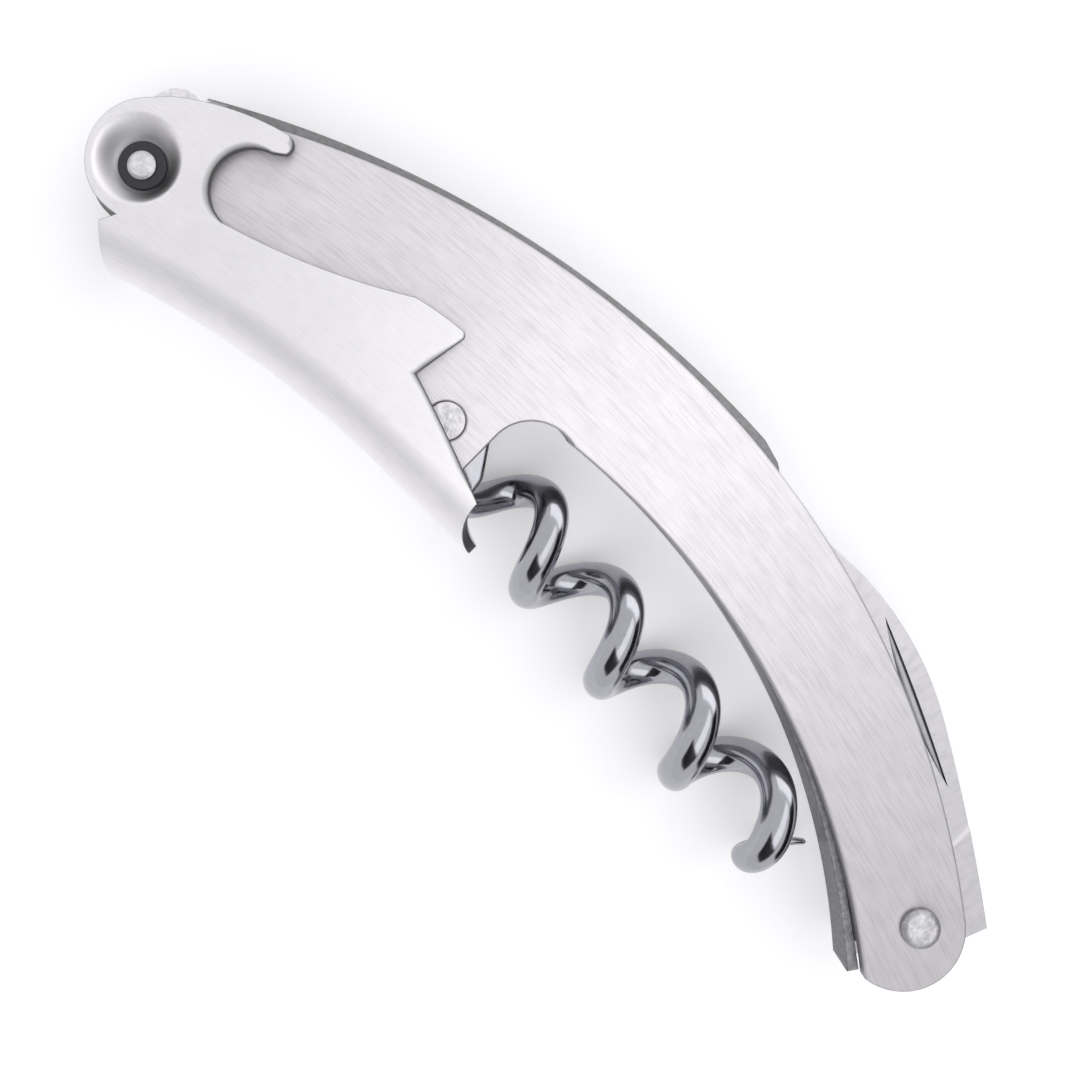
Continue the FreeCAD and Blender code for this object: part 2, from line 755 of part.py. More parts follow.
def turned_rivet(name, half_profile):
    """Rivet turned about its own axis; the profile is radius and height, both ends alike."""
    body = new_body(name)
    sketch = new_sketch(body, name + "_profile", "XZ_Plane")
    lower = [(radius, -height, None) for radius, height in reversed(half_profile)]
    upper = [(radius, height, None) for radius, height in half_profile]
    draw_outline(sketch, lower + upper)
    turned = body.newObject("PartDesign::Revolution", name + "_turned")
    turned.Profile = sketch
    turned.ReferenceAxis = (sketch, ["V_Axis"])
    turned.Angle = 360
    body.Tip = turned
    return body


def lever_rivet():
    """Pin through the whole lever, peened over both washers."""
    seat = washer_top + size("washer_clearance")
    top = seat + size("peen_height")
    pin, peen = size("lever_pin_radius"), size("peen_radius")
    return turned_rivet("lever_rivet", [
        (pin, seat), (peen, seat), (peen, top - size("peen_height") / 2),
        (pin, top), (0.0, top)])


def knife_rivet():
    """Pin with a proud, steep-sided head on each plate."""
    pin, head = size("knife_pin_radius"), size("knife_head_radius")
    top = plate_outer + size("knife_head_height")
    soft = size("knife_head_round")
    return turned_rivet("knife_rivet", [
        (pin, plate_outer), (head, plate_outer), (head, top - soft),
        (head - soft, top), (0.0, top)])


def lever_washer(name, front):
    """Ring on the floor of the lever's bowl."""
    body = new_body(name)
    thickness = size("washer_thickness")
    lift = washer_top - thickness if front else -washer_top
    sketch = new_sketch(body, name + "_outline", lift=lift)
    draw_circle(sketch, 0, 0, size("washer_radius"))
    draw_circle(sketch, 0, 0, pivot_hole)
    pad(body, name + "_pad", sketch, thickness)
    return body


def plain_pin(name, x, y, radius):
    """Pin ground flush with both plates."""
    pin = document.addObject("Part::Cylinder", name)
    pin.setExpression("Radius", as_size(radius).text)
    pin.setExpression("Height", (2 * plate_outer).text)
    pin.setExpression("Placement.Base.x", as_size(x).text)
    pin.setExpression("Placement.Base.y", as_size(y).text)
    pin.setExpression("Placement.Base.z", (-plate_outer).text)
    return pin


def pin_group(name, places, radius):
    """Equal pins as one sub-part of separate solids."""
    group = document.addObject("Part::Compound", name)
    group.Label = name
    group.Links = [plain_pin("%s_%d" % (name, number), size(x_name), size(y_name), radius)
                   for number, (x_name, y_name) in enumerate(places, start=1)]
    return group


def worm():
    """Flat teardrop tang with its eye on the worm pivot, running into an open right-handed coil
    of round wire that narrows to a point."""
    wire = size("worm_wire_radius").value
    coil = size("worm_helix_radius").value
    pitch = size("worm_pitch").value
    tilt = math.radians(size("worm_axis_angle").value)
    offset = size("worm_axis_offset").value
    phase_start = size("worm_phase_start").value
    first, last = size("worm_first_turn").value, size("worm_last_turn").value
    lead_turn, lead = size("worm_lead_turn").value, size("worm_lead_radius").value
    rise, lag = size("worm_lead_rise").value, size("worm_point_lag").value
    point_turn, point = size("worm_point_turn").value, size("worm_point_radius").value
    along = Vector(math.cos(tilt), math.sin(tilt), 0)
    across = Vector(-math.sin(tilt), math.cos(tilt), 0)

    def station(turn):
        """Centre of the wire at a turn in degrees. The coil's width and height grow over the
        lead-in, and the last bend lags a little behind the even pitch."""
        grown = min((turn - first) / lead_turn, 1.0)
        eased = grown * grown * (3 - 2 * grown)
        wide, high = lead + (coil - lead) * eased, rise + (coil - rise) * eased
        left = min((last - turn) / point_turn, 1.0)
        run = phase_start + pitch * turn / 360 - lag * math.sin(math.pi * left) ** 2
        angle = math.radians(turn)
        return (along * run + across * (offset + wide * math.cos(angle))
                + Vector(0, 0, high * math.sin(angle)))

    count = round((last - first) / size("worm_path_step").value)
    turns = [first + (last - first) * step / count for step in range(count + 1)]
    path = Part.BSplineCurve()
    path.interpolate([station(turn) for turn in turns])
    taper = path.parameter(station(last - point_turn))

    def ring(place, radius):
        """Wire section square to the path."""
        ahead = Vector(*path.tangent(place)[0])
        return Part.Wire([Part.Circle(path.value(place), ahead, radius).toShape()])

    def run(start, end, start_radius, end_radius):
        """One stretch of the wire, from section to section."""
        stretch = path.copy()
        stretch.segment(start, end)
        sweep = Part.BRepOffsetAPI.MakePipeShell(Part.Wire([stretch.toShape()]))
        sweep.setFrenetMode(False)
        sweep.add(ring(start, start_radius))
        if end_radius != start_radius:
            sweep.add(ring(end, end_radius))
        sweep.build()
        sweep.makeSolid()
        return sweep.shape()

    coil_solid = run(path.FirstParameter, taper, wire, wire)
    point_solid = run(taper, path.LastParameter, wire, point)
    thickness = size("worm_tang_thickness").value
    eye = size("worm_eye_radius").value
    pivot = Vector(worm_x.value, worm_y.value, -thickness / 2)
    heel = Vector(size("worm_tang_heel_x").value, size("worm_tang_heel_y").value, -thickness / 2)
    shoulder = Vector(size("worm_tang_shoulder_x").value, size("worm_tang_shoulder_y").value,
                      -thickness / 2)
    heel_radius = size("worm_tang_heel_radius").value
    tang = hull_of_circles(pivot, eye, heel, heel_radius, thickness).fuse(
        hull_of_circles(pivot, eye, shoulder, heel_radius, thickness)).removeSplitter()
    bore = size("worm_pin_radius").value + size("pivot_clearance").value
    hole = Part.makeCylinder(bore, thickness, pivot)
    solid = coil_solid.fuse(point_solid).fuse(tang.cut(hole))
    part = document.addObject("Part::Feature", "worm")
    part.Label = "worm"
    part.Shape = solid
    return part


def hull_of_circles(first, first_radius, second, second_radius, thickness):
    """Plate bounded by two circles and their outer tangents."""
    gap = second - first
    bearing = math.atan2(gap.y, gap.x)
    lean = math.acos((first_radius - second_radius) / gap.Length)
    rim = []
    for centre, radius, angles in ((first, first_radius, (bearing + lean, bearing - lean)),
                                   (second, second_radius, (bearing - lean, bearing + lean))):
        rim += [centre + Vector(math.cos(angle), math.sin(angle), 0) * radius for angle in angles]
    far_side = Vector(math.cos(bearing), math.sin(bearing), 0)
    edges = [
        Part.Arc(rim[0], first - far_side * first_radius, rim[1]).toShape(),
        Part.makeLine(rim[1], rim[2]),
        Part.Arc(rim[2], second + far_side * second_radius, rim[3]).toShape(),
        Part.makeLine(rim[3], rim[0]),
    ]
    return Part.Face(Part.Wire(edges)).extrude(Vector(0, 0, thickness))


# ---------------------------------------------------------------- assembly

floor_outer = cheek_outer - size("bowl_floor_depth")
washer_top = floor_outer + size("washer_clearance") + size("washer_thickness")

SUB_PARTS = [
    side_plate("front_side_plate", True),
    side_plate("rear_side_plate", False),
    centre_spacer(),
    knife_spring(),
    knife_blade(),
    boot_lever(),
    lever_rivet(),
    knife_rivet(),
    lever_washer("front_lever_washer", True),
    lever_washer("rear_lever_washer", False),
    plain_pin("worm_rivet", worm_x, worm_y, size("worm_pin_radius")),
    pin_group("spacer_rivets", SPACER_PINS, size("spacer_pin_radius")),
    pin_group("spring_rivets", SPRING_PINS, size("spring_pin_radius")),
    worm(),
]
document.recompute()

for item in document.Objects:
    if "Invalid" in item.State or "Error" in item.State:
        raise RuntimeError("%s did not build: %s" % (item.Name, item.State))
for part in SUB_PARTS:
    if part.Shape.isNull() or not part.Shape.isValid():
        raise RuntimeError("%s has no valid shape" % part.Label)

# The origin goes to the middle of the underside of the whole closed tool.
whole = FreeCAD.BoundBox()
KNIFE_SEAT = {"knife_rivet": Vector(knife_x.value, 0, 0)}
for part in SUB_PARTS:
    box = part.Shape.optimalBoundingBox(False, False)
    box.move(KNIFE_SEAT.get(part.Label, Vector(0, 0, 0)))
    whole.add(box)
shift = Vector(-whole.Center.x, -whole.Center.y, -whole.ZMin)
for part in SUB_PARTS:
    seat = part.Placement.Base + KNIFE_SEAT.get(part.Label, Vector(0, 0, 0))
    for axis in ("x", "y", "z"):
        part.setExpression("Placement.Base." + axis, None)
    part.Placement = FreeCAD.Placement(seat + shift, FreeCAD.Rotation())
document.recompute()

os.makedirs("parts", exist_ok=True)
for part in SUB_PARTS:
    part.Shape.exportStep("parts/%s.step" % part.Label)
    print(part.Label, round(part.Shape.Volume, 1), len(part.Shape.Solids), part.Shape.BoundBox)
print("shift", shift, "whole", whole)
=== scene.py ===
"""Looks of the folded lever corkscrew.

Sizes are millimetres in the drawing frame: origin at the lever pivot, X to the knife pivot, Y to
the convex back of the handle, Z through the thickness from its middle. Skin.build() moves them to
the part's frame and to metres."""
import math
import bpy
import numpy as np
from mathutils.geometry import delaunay_2d_cdt
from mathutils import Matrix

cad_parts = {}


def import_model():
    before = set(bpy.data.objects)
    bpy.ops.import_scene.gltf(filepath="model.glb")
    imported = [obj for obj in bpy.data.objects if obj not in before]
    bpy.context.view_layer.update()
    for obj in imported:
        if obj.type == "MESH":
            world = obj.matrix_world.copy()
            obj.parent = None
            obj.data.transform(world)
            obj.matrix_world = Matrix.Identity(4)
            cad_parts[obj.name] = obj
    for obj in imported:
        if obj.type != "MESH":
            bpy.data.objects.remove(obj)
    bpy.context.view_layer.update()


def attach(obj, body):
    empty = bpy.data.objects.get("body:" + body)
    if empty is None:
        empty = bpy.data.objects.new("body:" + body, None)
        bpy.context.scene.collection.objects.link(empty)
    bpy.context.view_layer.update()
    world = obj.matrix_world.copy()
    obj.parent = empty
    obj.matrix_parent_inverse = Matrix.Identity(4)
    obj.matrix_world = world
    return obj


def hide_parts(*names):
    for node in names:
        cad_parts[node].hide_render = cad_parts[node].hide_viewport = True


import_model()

# ---------------------------------------------------------------- sizes

MM = 1000                       # millimetres in a metre
MOVE = np.array([-54.19347, -6.9483, 5.55])     # where the drawing frame's origin goes
CORE_HALF = 1.8
PLATE = 1.6
PLATE_OUTER = CORE_HALF + PLATE
SHEET = 1.1
LEVER_GAP = 0.15                # between a plate and the lever's cheek
CHEEK_OUTER = PLATE_OUTER + LEVER_GAP + SHEET
WORM_PIVOT = (39.2, 3.0)
KNIFE_PIVOT = (107.8, 0.0)
LEVER_BORE, WORM_BORE, KNIFE_BORE = 1.24, 1.99, 1.29

# long arcs that several pieces follow, as the x and y of the top and the radius
BACK = (53.8, 23.4, 101.5)
BACK_TAIL = 92.0                # radius of the back from its top to the knife's end
SPINE = (55.96, 24.33, 114.24)  # back of the spacer
BELLY = (57.74, 10.39, 78.8)
LUG = (37.0, -0.3, 109.5)       # lower edge behind the lever's fold

NOTCH = (48.66, 5.45)           # middle of the round notch between lug and belly
BUMP = (-1.36, 5.51, 3.28)      # round end of the spacer: x, y and radius
SEAT_BEARING = math.radians(-127.0)     # where the spring presses, seen from the knife pivot

# pressed bowl round the lever pivot
BOWL_MIDDLE = (-0.4, 0.3)       # of its rim; its floor lies about the pivot
BOWL_RIM, BOWL_FLOOR, BOWL_DEPTH = 4.62, 2.55, 1.7
BOWL_ROWS = 15

EDGE = 0.1                      # usual edge round of sheet and bores
STEP = 0.35                     # spacing of points along outlines
TURN = 0.10                     # largest turn between points of an arc, in radians
SHARP = 0.4                     # smallest bend, in radians, that makes a point a corner
RING, FINE_RING = 72, 96        # points round a bore, and round a bowl

UP = np.array([0.0, 0.0, 1.0])


# ---------------------------------------------------------------- outlines

def arc(start, end, radius):
    """Points from start up to, but without, end. None is a straight line; a positive radius has
    the arc's centre on the left of start to end, a negative one on the right."""
    start, end = np.array(start, float), np.array(end, float)
    chord = end - start
    length = math.hypot(*chord)
    if radius is None:
        count = max(1, round(length / STEP))
        return start + chord * (np.arange(count) / count)[:, None]
    left = np.array([-chord[1], chord[0]]) / length
    rise = math.sqrt(max(radius * radius - length * length / 4, 0.0))
    centre = (start + end) / 2 + left * math.copysign(rise, radius)
    angles = [math.atan2(*(point - centre)[::-1]) for point in (start, end)]
    sweep = (angles[1] - angles[0] + math.pi) % (2 * math.pi) - math.pi
    count = max(2, math.ceil(abs(sweep * radius) / STEP), math.ceil(abs(sweep) / TURN))
    turn = angles[0] + sweep * np.arange(count) / count
    return centre + abs(radius) * np.stack([np.cos(turn), np.sin(turn)], 1)


def outline(corners, clear=0.0):
    """Closed anticlockwise outline from corners of x, y and the radius to the next corner.
    Points nearer than clear to a sharp corner are left out, so that a wide edge round fits."""
    following = corners[1:] + corners[:1]
    loop = np.concatenate([arc(a[:2], b[:2], a[2]) for a, b in zip(corners, following)])
    ahead = np.roll(loop, -1, 0) - loop
    bearing = np.arctan2(ahead[:, 1], ahead[:, 0])
    bend = np.abs((bearing - np.roll(bearing, 1) + math.pi) % (2 * math.pi) - math.pi)
    sharp = bend > SHARP
    if not sharp.any():
        return loop
    away = (loop[:, None] - loop[sharp][None]).transpose(2, 0, 1)
    return loop[(np.hypot(*away).min(1) > clear) | sharp]


def round_angles(count):
    """Equal steps of a full turn, in radians."""
    return np.arange(count) * 2 * math.pi / count


def ring(x, y, radius, count=RING):
    """Circle as a closed anticlockwise loop."""
    turn = round_angles(count)
    return np.stack([x + radius * np.cos(turn), y + radius * np.sin(turn)], 1)


def on_circle(middle, radius, degrees):
    """Point of a circle at a bearing."""
    turn = math.radians(degrees)
    return middle[0] + radius * math.cos(turn), middle[1] + radius * math.sin(turn)


def crown(top_x, top_y, radius, x):
    """Height at x of an arc whose top is (top_x, top_y)."""
    return top_y - radius + math.sqrt(radius * radius - (x - top_x) ** 2)


def round_top(middle_x, middle_y, radius, x):
    """Height at x of the upper half of a circle."""
    return middle_y + math.sqrt(radius * radius - (x - middle_x) ** 2)


def belly(x, setback=0.0):
    """Height at x of the belly's arc, or of the arc that runs beside it, set back inwards."""
    return crown(BELLY[0], BELLY[1] + setback, BELLY[2] + setback, x)


def seat(height, along):
    """Point of the flat where the knife's tang rests on the spring: its height from the knife
    pivot, and the way along the flat."""
    c, s = math.cos(SEAT_BEARING), math.sin(SEAT_BEARING)
    return KNIFE_PIVOT[0] + height * c - along * s, KNIFE_PIVOT[1] + height * s + along * c


# ---------------------------------------------------------------- meshes

class Skin:
    """Points, their normals and faces of one piece, gathered part by part."""

    def __init__(self):
        self.points, self.normals, self.faces, self.count = [], [], [], 0
        self.flat, self.shades = [], []

    def add(self, points, normals, shade=1.0):
        """Adds points and returns their numbers, in the same grid. shade is painted shade: the
        share of light the metal keeps there, lower on edge walls, in recesses, in bowls and on
        rivet flanks, where shade falls."""
        points = np.asarray(points, float)
        shape = points.shape[:-1]
        total = int(np.prod(shape))
        self.points.append(points.reshape(-1, 3))
        self.normals.append(np.broadcast_to(normals, points.shape).reshape(-1, 3))
        self.shades.append(np.broadcast_to(shade, shape).reshape(-1))
        self.count += total
        return np.arange(self.count - total, self.count).reshape(shape)

    def grid(self, ids, closed=False, flip=False, flat=False):
        """Quads between the rows of a grid; closed joins the last column to the first. Flat ones
        are shaded by their own faces and not by the points' normals."""
        if closed:
            ids = np.concatenate([ids, ids[:, :1]], 1)
        quads = np.stack([ids[1:, :-1], ids[1:, 1:], ids[:-1, 1:], ids[:-1, :-1]], -1)
        quads = quads.reshape(-1, 4)
        if flat:
            self.flat += range(len(self.faces), len(self.faces) + len(quads))
        self.faces += (quads[:, ::-1] if flip else quads).tolist()

    def fan(self, row, middle, normal, flip=False):
        """Triangles from a closed row of points to one point in its middle."""
        pole = self.add([middle], normal)[0]
        triangles = np.stack([row, np.roll(row, -1), np.full(len(row), pole)], 1)
        self.faces += (triangles[:, ::-1] if flip else triangles).tolist()

    def cap(self, loops, points, flip=False):
        """Flat triangles inside the first loop and outside the others."""
        weld, least = 1e-6, 1e-5        # smallest distance, and twice the smallest area
        ids = np.concatenate(loops)
        flat = [tuple(p) for p in np.concatenate(points)[:, :2]]
        edges, start = [], 0
        for loop in loops:
            run = start + np.arange(len(loop))
            edges += np.stack([run, np.roll(run, -1)], 1).tolist()
            start += len(loop)
        made = delaunay_2d_cdt(flat, edges, [], 0, weld)
        source = np.array([old[0] for old in made[3]])
        place = np.array([tuple(v) for v in made[0]])
        faces = np.array([list(face) for face in made[2]])
        first, second, third = place[faces].transpose(1, 0, 2)
        a, b = second - first, third - first
        inside = np.zeros(len(faces), bool)
        for loop in points:
            inside ^= within((first + second + third) / 3, loop)
        inside &= a[:, 0] * b[:, 1] - a[:, 1] * b[:, 0] > least
        faces = ids[source[faces[inside]]]
        self.flat += range(len(self.faces), len(self.faces) + len(faces))
        self.faces += (faces[:, ::-1] if flip else faces).tolist()

    def build(self, cad_node, body, slot_name):
        """Makes the object that stands for a CAD node, and shades it with its own normals."""
        name = cad_node + "_look"
        points = np.concatenate(self.points)
        normals = np.concatenate(self.normals)
        normals = normals / np.linalg.norm(normals, axis=1)[:, None]
        mesh = bpy.data.meshes.new(name)
        mesh.from_pydata((points + MOVE) / MM, [], self.faces)
        mesh.update()
        mesh.polygons.foreach_set("use_smooth", [True] * len(mesh.polygons))
        corner = np.zeros(len(mesh.loops), int)
        mesh.loops.foreach_get("vertex_index", corner)
        shade = normals[corner]
        own = np.zeros(len(mesh.polygons) * 3)
        mesh.polygons.foreach_get("normal", own)
        sides = np.array([len(face) for face in self.faces])
        face_of = np.repeat(np.arange(len(sides)), sides)
        plain = np.isin(face_of, self.flat)
        shade[plain] = own.reshape(-1, 3)[face_of[plain]]
        mesh.normals_split_custom_set(shade.tolist())
        kept = mesh.attributes.new("shade", "FLOAT", "POINT")
        kept.data.foreach_set("value", np.concatenate(self.shades))
        piece = bpy.data.objects.new(name, mesh)
        bpy.context.scene.collection.objects.link(piece)
        piece.data.materials.append(FINISHES[slot_name])
        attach(piece, body)
        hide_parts(cad_node)


def within(places, loop):
    """Which places lie inside a loop, by counting the edges to their right."""
    a, b = loop[:, :2], np.roll(loop[:, :2], -1, 0)
    x, y = places[:, 0, None], places[:, 1, None]
    spans = (a[:, 1] > y) != (b[:, 1] > y)
    rise = np.where(b[:, 1] == a[:, 1], 1.0, b[:, 1] - a[:, 1])
    return ((x < a[:, 0] + (y - a[:, 1]) * (b[:, 0] - a[:, 0]) / rise) & spans).sum(1) % 2 == 1


def upright(loop):
    """A normal straight up for each point of a loop."""
    return np.tile(UP, (len(loop), 1))


def lift(loop, z):
    """A flat loop at a height."""
    return np.column_stack([loop, np.full(len(loop), z)])


def around(values, reach):
    """Each value of a closed loop under its neighbours up to reach points away."""
    return np.stack([np.roll(values, step) for step in range(-reach, reach + 1)])


def mitres(loop, normals):
    """Outward directions in the surface at the points of a closed loop, each long enough that a
    step along it moves both neighbouring edges by the same amount."""
    least = 0.5                 # keeps the step short at a hairpin
    edges = np.roll(loop, -1, 0) - loop
    outward = np.cross(edges, normals)
    outward /= np.linalg.norm(outward, axis=1)[:, None]
    before = np.roll(outward, 1, 0)
    share = np.maximum(1 + (outward * before).sum(1), least)
    return (outward + before) / share[:, None]


def rim(skin, loop, normals, depth, edge, steps=4, roll=None, wall_painted_shade=0.5):
    """Rounded edge round a sheet or slab: quarter ellipse, wall, quarter circle. roll is the width
    of the upper round at each point where it is wider than edge. The wall value is painted shade:
    both rounds darken towards the sheared wall, which takes that value. Returns the numbers of the
    first and last ring and their points."""
    slump = 0.25                # how much of a wider round goes down the wall
    out = mitres(loop, normals)
    unit = out / np.linalg.norm(out, axis=1)[:, None]
    turn = np.linspace(0, math.pi / 2, steps + 1)
    wide = np.full((len(loop), 1), edge) if roll is None else roll[:, None]
    fall = edge + slump * (wide - edge)
    rows, tilts = [], []
    for t in turn:
        rows.append(loop - out * wide * (1 - math.sin(t)) - normals * fall * (1 - math.cos(t)))
        tilts.append(unit * math.sin(t) * fall + normals * math.cos(t) * wide)
    for t in turn[::-1]:
        back_off = depth - edge * (1 - math.cos(t))
        rows.append(loop - out * edge * (1 - math.sin(t)) - normals * back_off)
        tilts.append(unit * math.sin(t) - normals * math.cos(t))
    # painted shade on the rounds and the wall, darkest on the wall
    painted_fade = 1 + (wall_painted_shade - 1) * np.sin(turn)
    shade = np.concatenate([painted_fade, painted_fade[::-1]])[:, None]
    ids = skin.add(np.array(rows), np.array(tilts), np.repeat(shade, len(loop), 1))
    skin.grid(ids, closed=True)
    return ids[0], ids[-1], rows[0], rows[-1]


def free_inset(loop, normals, least, most, island, held):
    """Widest inset at each point, from least to most, that keeps clear of the rest of the loop
    and of an island (x, y, radius). Held points stay at least."""
    tries, slack, open_share = 12, 0.95, 0.4
    lowest_of, mean_of = 6, 4   # neighbours on each side that even out the result
    out = mitres(loop, normals)
    ahead = np.roll(loop, -1, 0) - loop
    free, fits = np.full(len(loop), least), ~held
    for inset in np.linspace(least, most, tries):
        moved = loop - out * inset
        gap = np.linalg.norm(moved[:, None] - loop[None], axis=-1).min(1)
        step = np.roll(moved, -1, 0) - moved
        open_ = (step * ahead).sum(1) > open_share * (ahead * ahead).sum(1)
        aside = np.hypot(moved[:, 0] - island[0], moved[:, 1] - island[1]) > island[2]
        fits &= (gap > inset * slack) & open_ & np.roll(open_, 1) & aside
        free = np.where(fits, inset, free)
    return around(around(free, lowest_of).min(0), mean_of).mean(0)


def slab(skin, loop, low, high, holes=(), edge=EDGE):
    """Plate with rounded edges; holes are loops through it."""
    tops, lows, top_points, low_points = [], [], [], []
    for shape in [loop] + [hole[::-1] for hole in holes]:
        first, last, upper, lower = rim(skin, lift(shape, high), upright(shape), high - low, edge)
        tops.append(first)
        lows.append(last)
        top_points.append(upper)
        low_points.append(lower)
    skin.cap(tops, top_points)
    skin.cap(lows, low_points, flip=True)


def groove(skin, loop, start, end, level, steps):
    """Recess below a narrow loop in a face at a level. Each step is (share, depth, shade): the
    loop is drawn towards the line from start to end by that share of its distance and sunk by the
    depth, and the shade is painted shade there. Returns the numbers and places of its rim,
    clockwise, for the face round it."""
    tiny = 1e-9
    rim_at = lift(loop[::-1], level)
    line = np.array(end, float) - np.array(start, float)
    line /= math.hypot(*line)
    away = rim_at[:, :2] - np.array(start)
    away = away - (away @ line)[:, None] * line
    away = np.column_stack([away, np.zeros(len(away))])
    rows = np.array([rim_at - away * share - UP * depth for share, depth, _ in steps])
    shades = np.array([[shade] * len(loop) for _, _, shade in steps])
    sink = np.gradient(rows, axis=0)
    tilt = np.cross(sink, np.roll(rows, -1, 1) - np.roll(rows, 1, 1))
    size = np.linalg.norm(tilt, axis=-1)[..., None]
    tilt = np.where(size > tiny, tilt / np.maximum(size, tiny), UP)
    ids = skin.add(rows, tilt, shades)
    skin.grid(ids, closed=True)
    skin.cap([ids[-1][::-1]], [rows[-1][::-1]])
    return ids[0], rim_at


def lathe(skin, profile, x, y, flip=False, flank_painted_shade=1.0):
    """Turned surface about a line along Z. profile is a list of (radius, height) from the outside
    inwards to the middle on the upper side; flip mirrors it to the lower side. The last argument
    is painted shade: the share of light its steep parts keep. Returns the numbers of its points,
    row by row."""
    profile = np.array(profile, float)
    slope = np.gradient(profile, axis=0)[:-1]
    side = -1.0 if flip else 1.0
    turn = round_angles(RING)
    c, s = np.cos(turn), np.sin(turn)
    rows = [np.stack([x + r * c, y + r * s, np.full(RING, z * side)], 1) for r, z in profile[:-1]]
    tilt = [np.stack([rise * c, rise * s, np.full(RING, -run * side)], 1) for run, rise in slope]
    steep = np.abs(slope[:, 1]) / np.hypot(*slope.T)
    shade = np.repeat((1 + (flank_painted_shade - 1) * steep)[:, None], RING, 1)
    ids = skin.add(np.array(rows), np.array(tilt), shade)
    skin.grid(ids[::-1], closed=True, flip=flip)
    skin.fan(ids[-1], [x, y, profile[-1, 1] * side], UP * side, flip)
    return ids


def soften(points, radius, steps=5):
    """Polyline with its inner corners rounded; short straight pieces stay beside the rounds."""
    most, stub = 0.45, 0.01     # share of a straight piece that a round may take, and what stays
    points = [np.array(p, float) for p in points]
    made = [points[0]]
    for before, here, after in zip(points, points[1:], points[2:]):
        a, b = before - here, after - here
        la, lb = math.hypot(*a), math.hypot(*b)
        reach = min(radius, la * most, lb * most)
        first, last = here + a / la * reach, here + b / lb * reach
        made.append(first + a / la * stub)
        for t in np.linspace(0, 1, steps + 1):
            made.append((1 - t) ** 2 * first + 2 * t * (1 - t) * here + t * t * last)
        made.append(last + b / lb * stub)
    made.append(points[-1])
    return made


# ---------------------------------------------------------------- finishes

def linear(hexcode):
    """sRGB hex colour to linear values."""
    parts = [int(hexcode[i:i + 2], 16) / 255 for i in (0, 2, 4)]
    return [p / 12.92 if p <= 0.04045 else ((p + 0.055) / 1.055) ** 2.4 for p in parts] + [1.0]


def node(tree, kind, settings=(), **inputs):
    """Adds a shader node, sets its properties and fills or links its inputs. An input named i
    and a number is the socket with that number."""
    made = tree.nodes.new(kind)
    for key, value in dict(settings).items():
        setattr(made, key, value)
    for key, value in inputs.items():
        numbered = key[0] == "i" and key[1:].isdigit()
        socket = made.inputs[int(key[1:]) if numbered else key.replace("_", " ")]
        if isinstance(value, bpy.types.NodeSocket):
            tree.links.new(value, socket)
        else:
            socket.default_value = value
    return made


def maths(tree, operation, first, second):
    """Result of one sum on two values."""
    return node(tree, "ShaderNodeMath", {"operation": operation}, i0=first, i1=second).outputs[0]


def dented(tree, height, depth, normal):
    """Normal bent by a pattern of a depth in millimetres, on top of an earlier bend if any."""
    made = node(tree, "ShaderNodeBump", Height=height, Strength=1.0, Distance=depth / MM)
    if normal:
        tree.links.new(normal, made.inputs["Normal"])
    return made.outputs[0]


def dulled(tree, level, pattern, low, high, loss):
    """Level less the share of light lost where the pattern lies at low; none is lost at high."""
    kept = node(tree, "ShaderNodeMapRange", Value=pattern, i1=low, i2=high, i3=1.0 - loss, i4=1.0)
    return maths(tree, "MULTIPLY", level, kept.outputs[0])


def metal(name, colour, roughness, brush=None, dull=0.0, cloud=None, spread=0.0):
    """Bare metal. brush is (centre x, centre y, radius, width, length, bump): fine lines that
    follow circles about a far centre; dull is the share of light the deepest lines lose, and
    spread how far the lines fan light out across them. cloud is (size, bump, share): soft
    dents, and the share of light lost in them."""
    material = bpy.data.materials.new(name)
    material.use_nodes = True
    tree = material.node_tree
    shader = tree.nodes["Principled BSDF"]
    shader.inputs["Metallic"].default_value = 1.0
    shader.inputs["Base Color"].default_value = linear(colour)
    shader.inputs["Roughness"].default_value = roughness
    place = node(tree, "ShaderNodeTexCoord").outputs["Object"]
    # the shade attribute is painted shade: it darkens edges, recesses, bowls, rivet flanks and the
    # spacer's sunk strip
    level = node(tree, "ShaderNodeAttribute", {"attribute_name": "shade"}).outputs["Fac"]
    normal = None
    if cloud:
        size, bump, loss = cloud
        noise = node(tree, "ShaderNodeTexNoise", Vector=place, Scale=MM / size, Detail=4.0,
                     Roughness=0.6).outputs[0]
        normal = dented(tree, noise, bump, normal)
        level = dulled(tree, level, noise, 0.35, 0.65, loss)
    if brush:
        x, y, radius, width, length, bump = brush
        centre = (np.array([x, y, 0.0]) + MOVE) / MM
        moved = node(tree, "ShaderNodeMapping", Vector=place,
                     Location=(-centre[0], -centre[1], 0.0))
        parts = node(tree, "ShaderNodeSeparateXYZ", Vector=moved.outputs[0]).outputs
        flat = node(tree, "ShaderNodeCombineXYZ", X=parts[0], Y=parts[1]).outputs[0]
        far = node(tree, "ShaderNodeVectorMath", {"operation": "LENGTH"}, i0=flat)
        if spread:
            shader.inputs["Anisotropic"].default_value = spread
            tree.links.new(flat, shader.inputs["Tangent"])
        turn = maths(tree, "ARCTAN2", parts[1], parts[0])
        stretched = node(tree, "ShaderNodeCombineXYZ",
                         X=maths(tree, "MULTIPLY", turn, radius / length),
                         Y=maths(tree, "MULTIPLY", far.outputs["Value"], MM / width),
                         Z=maths(tree, "MULTIPLY", parts[2], MM / width))
        lines = node(tree, "ShaderNodeTexNoise", Vector=stretched.outputs[0], Scale=1.0,
                     Detail=3.0, Roughness=0.6).outputs[0]
        normal = dented(tree, lines, bump, normal)
        level = dulled(tree, level, lines, 0.3, 0.55, dull)
    if normal:
        tree.links.new(normal, shader.inputs["Normal"])
    dimmed = node(tree, "ShaderNodeVectorMath", {"operation": "SCALE"},
                  i0=linear(colour)[:3], Scale=level)
    tree.links.new(dimmed.outputs[0], shader.inputs["Base Color"])
    return material


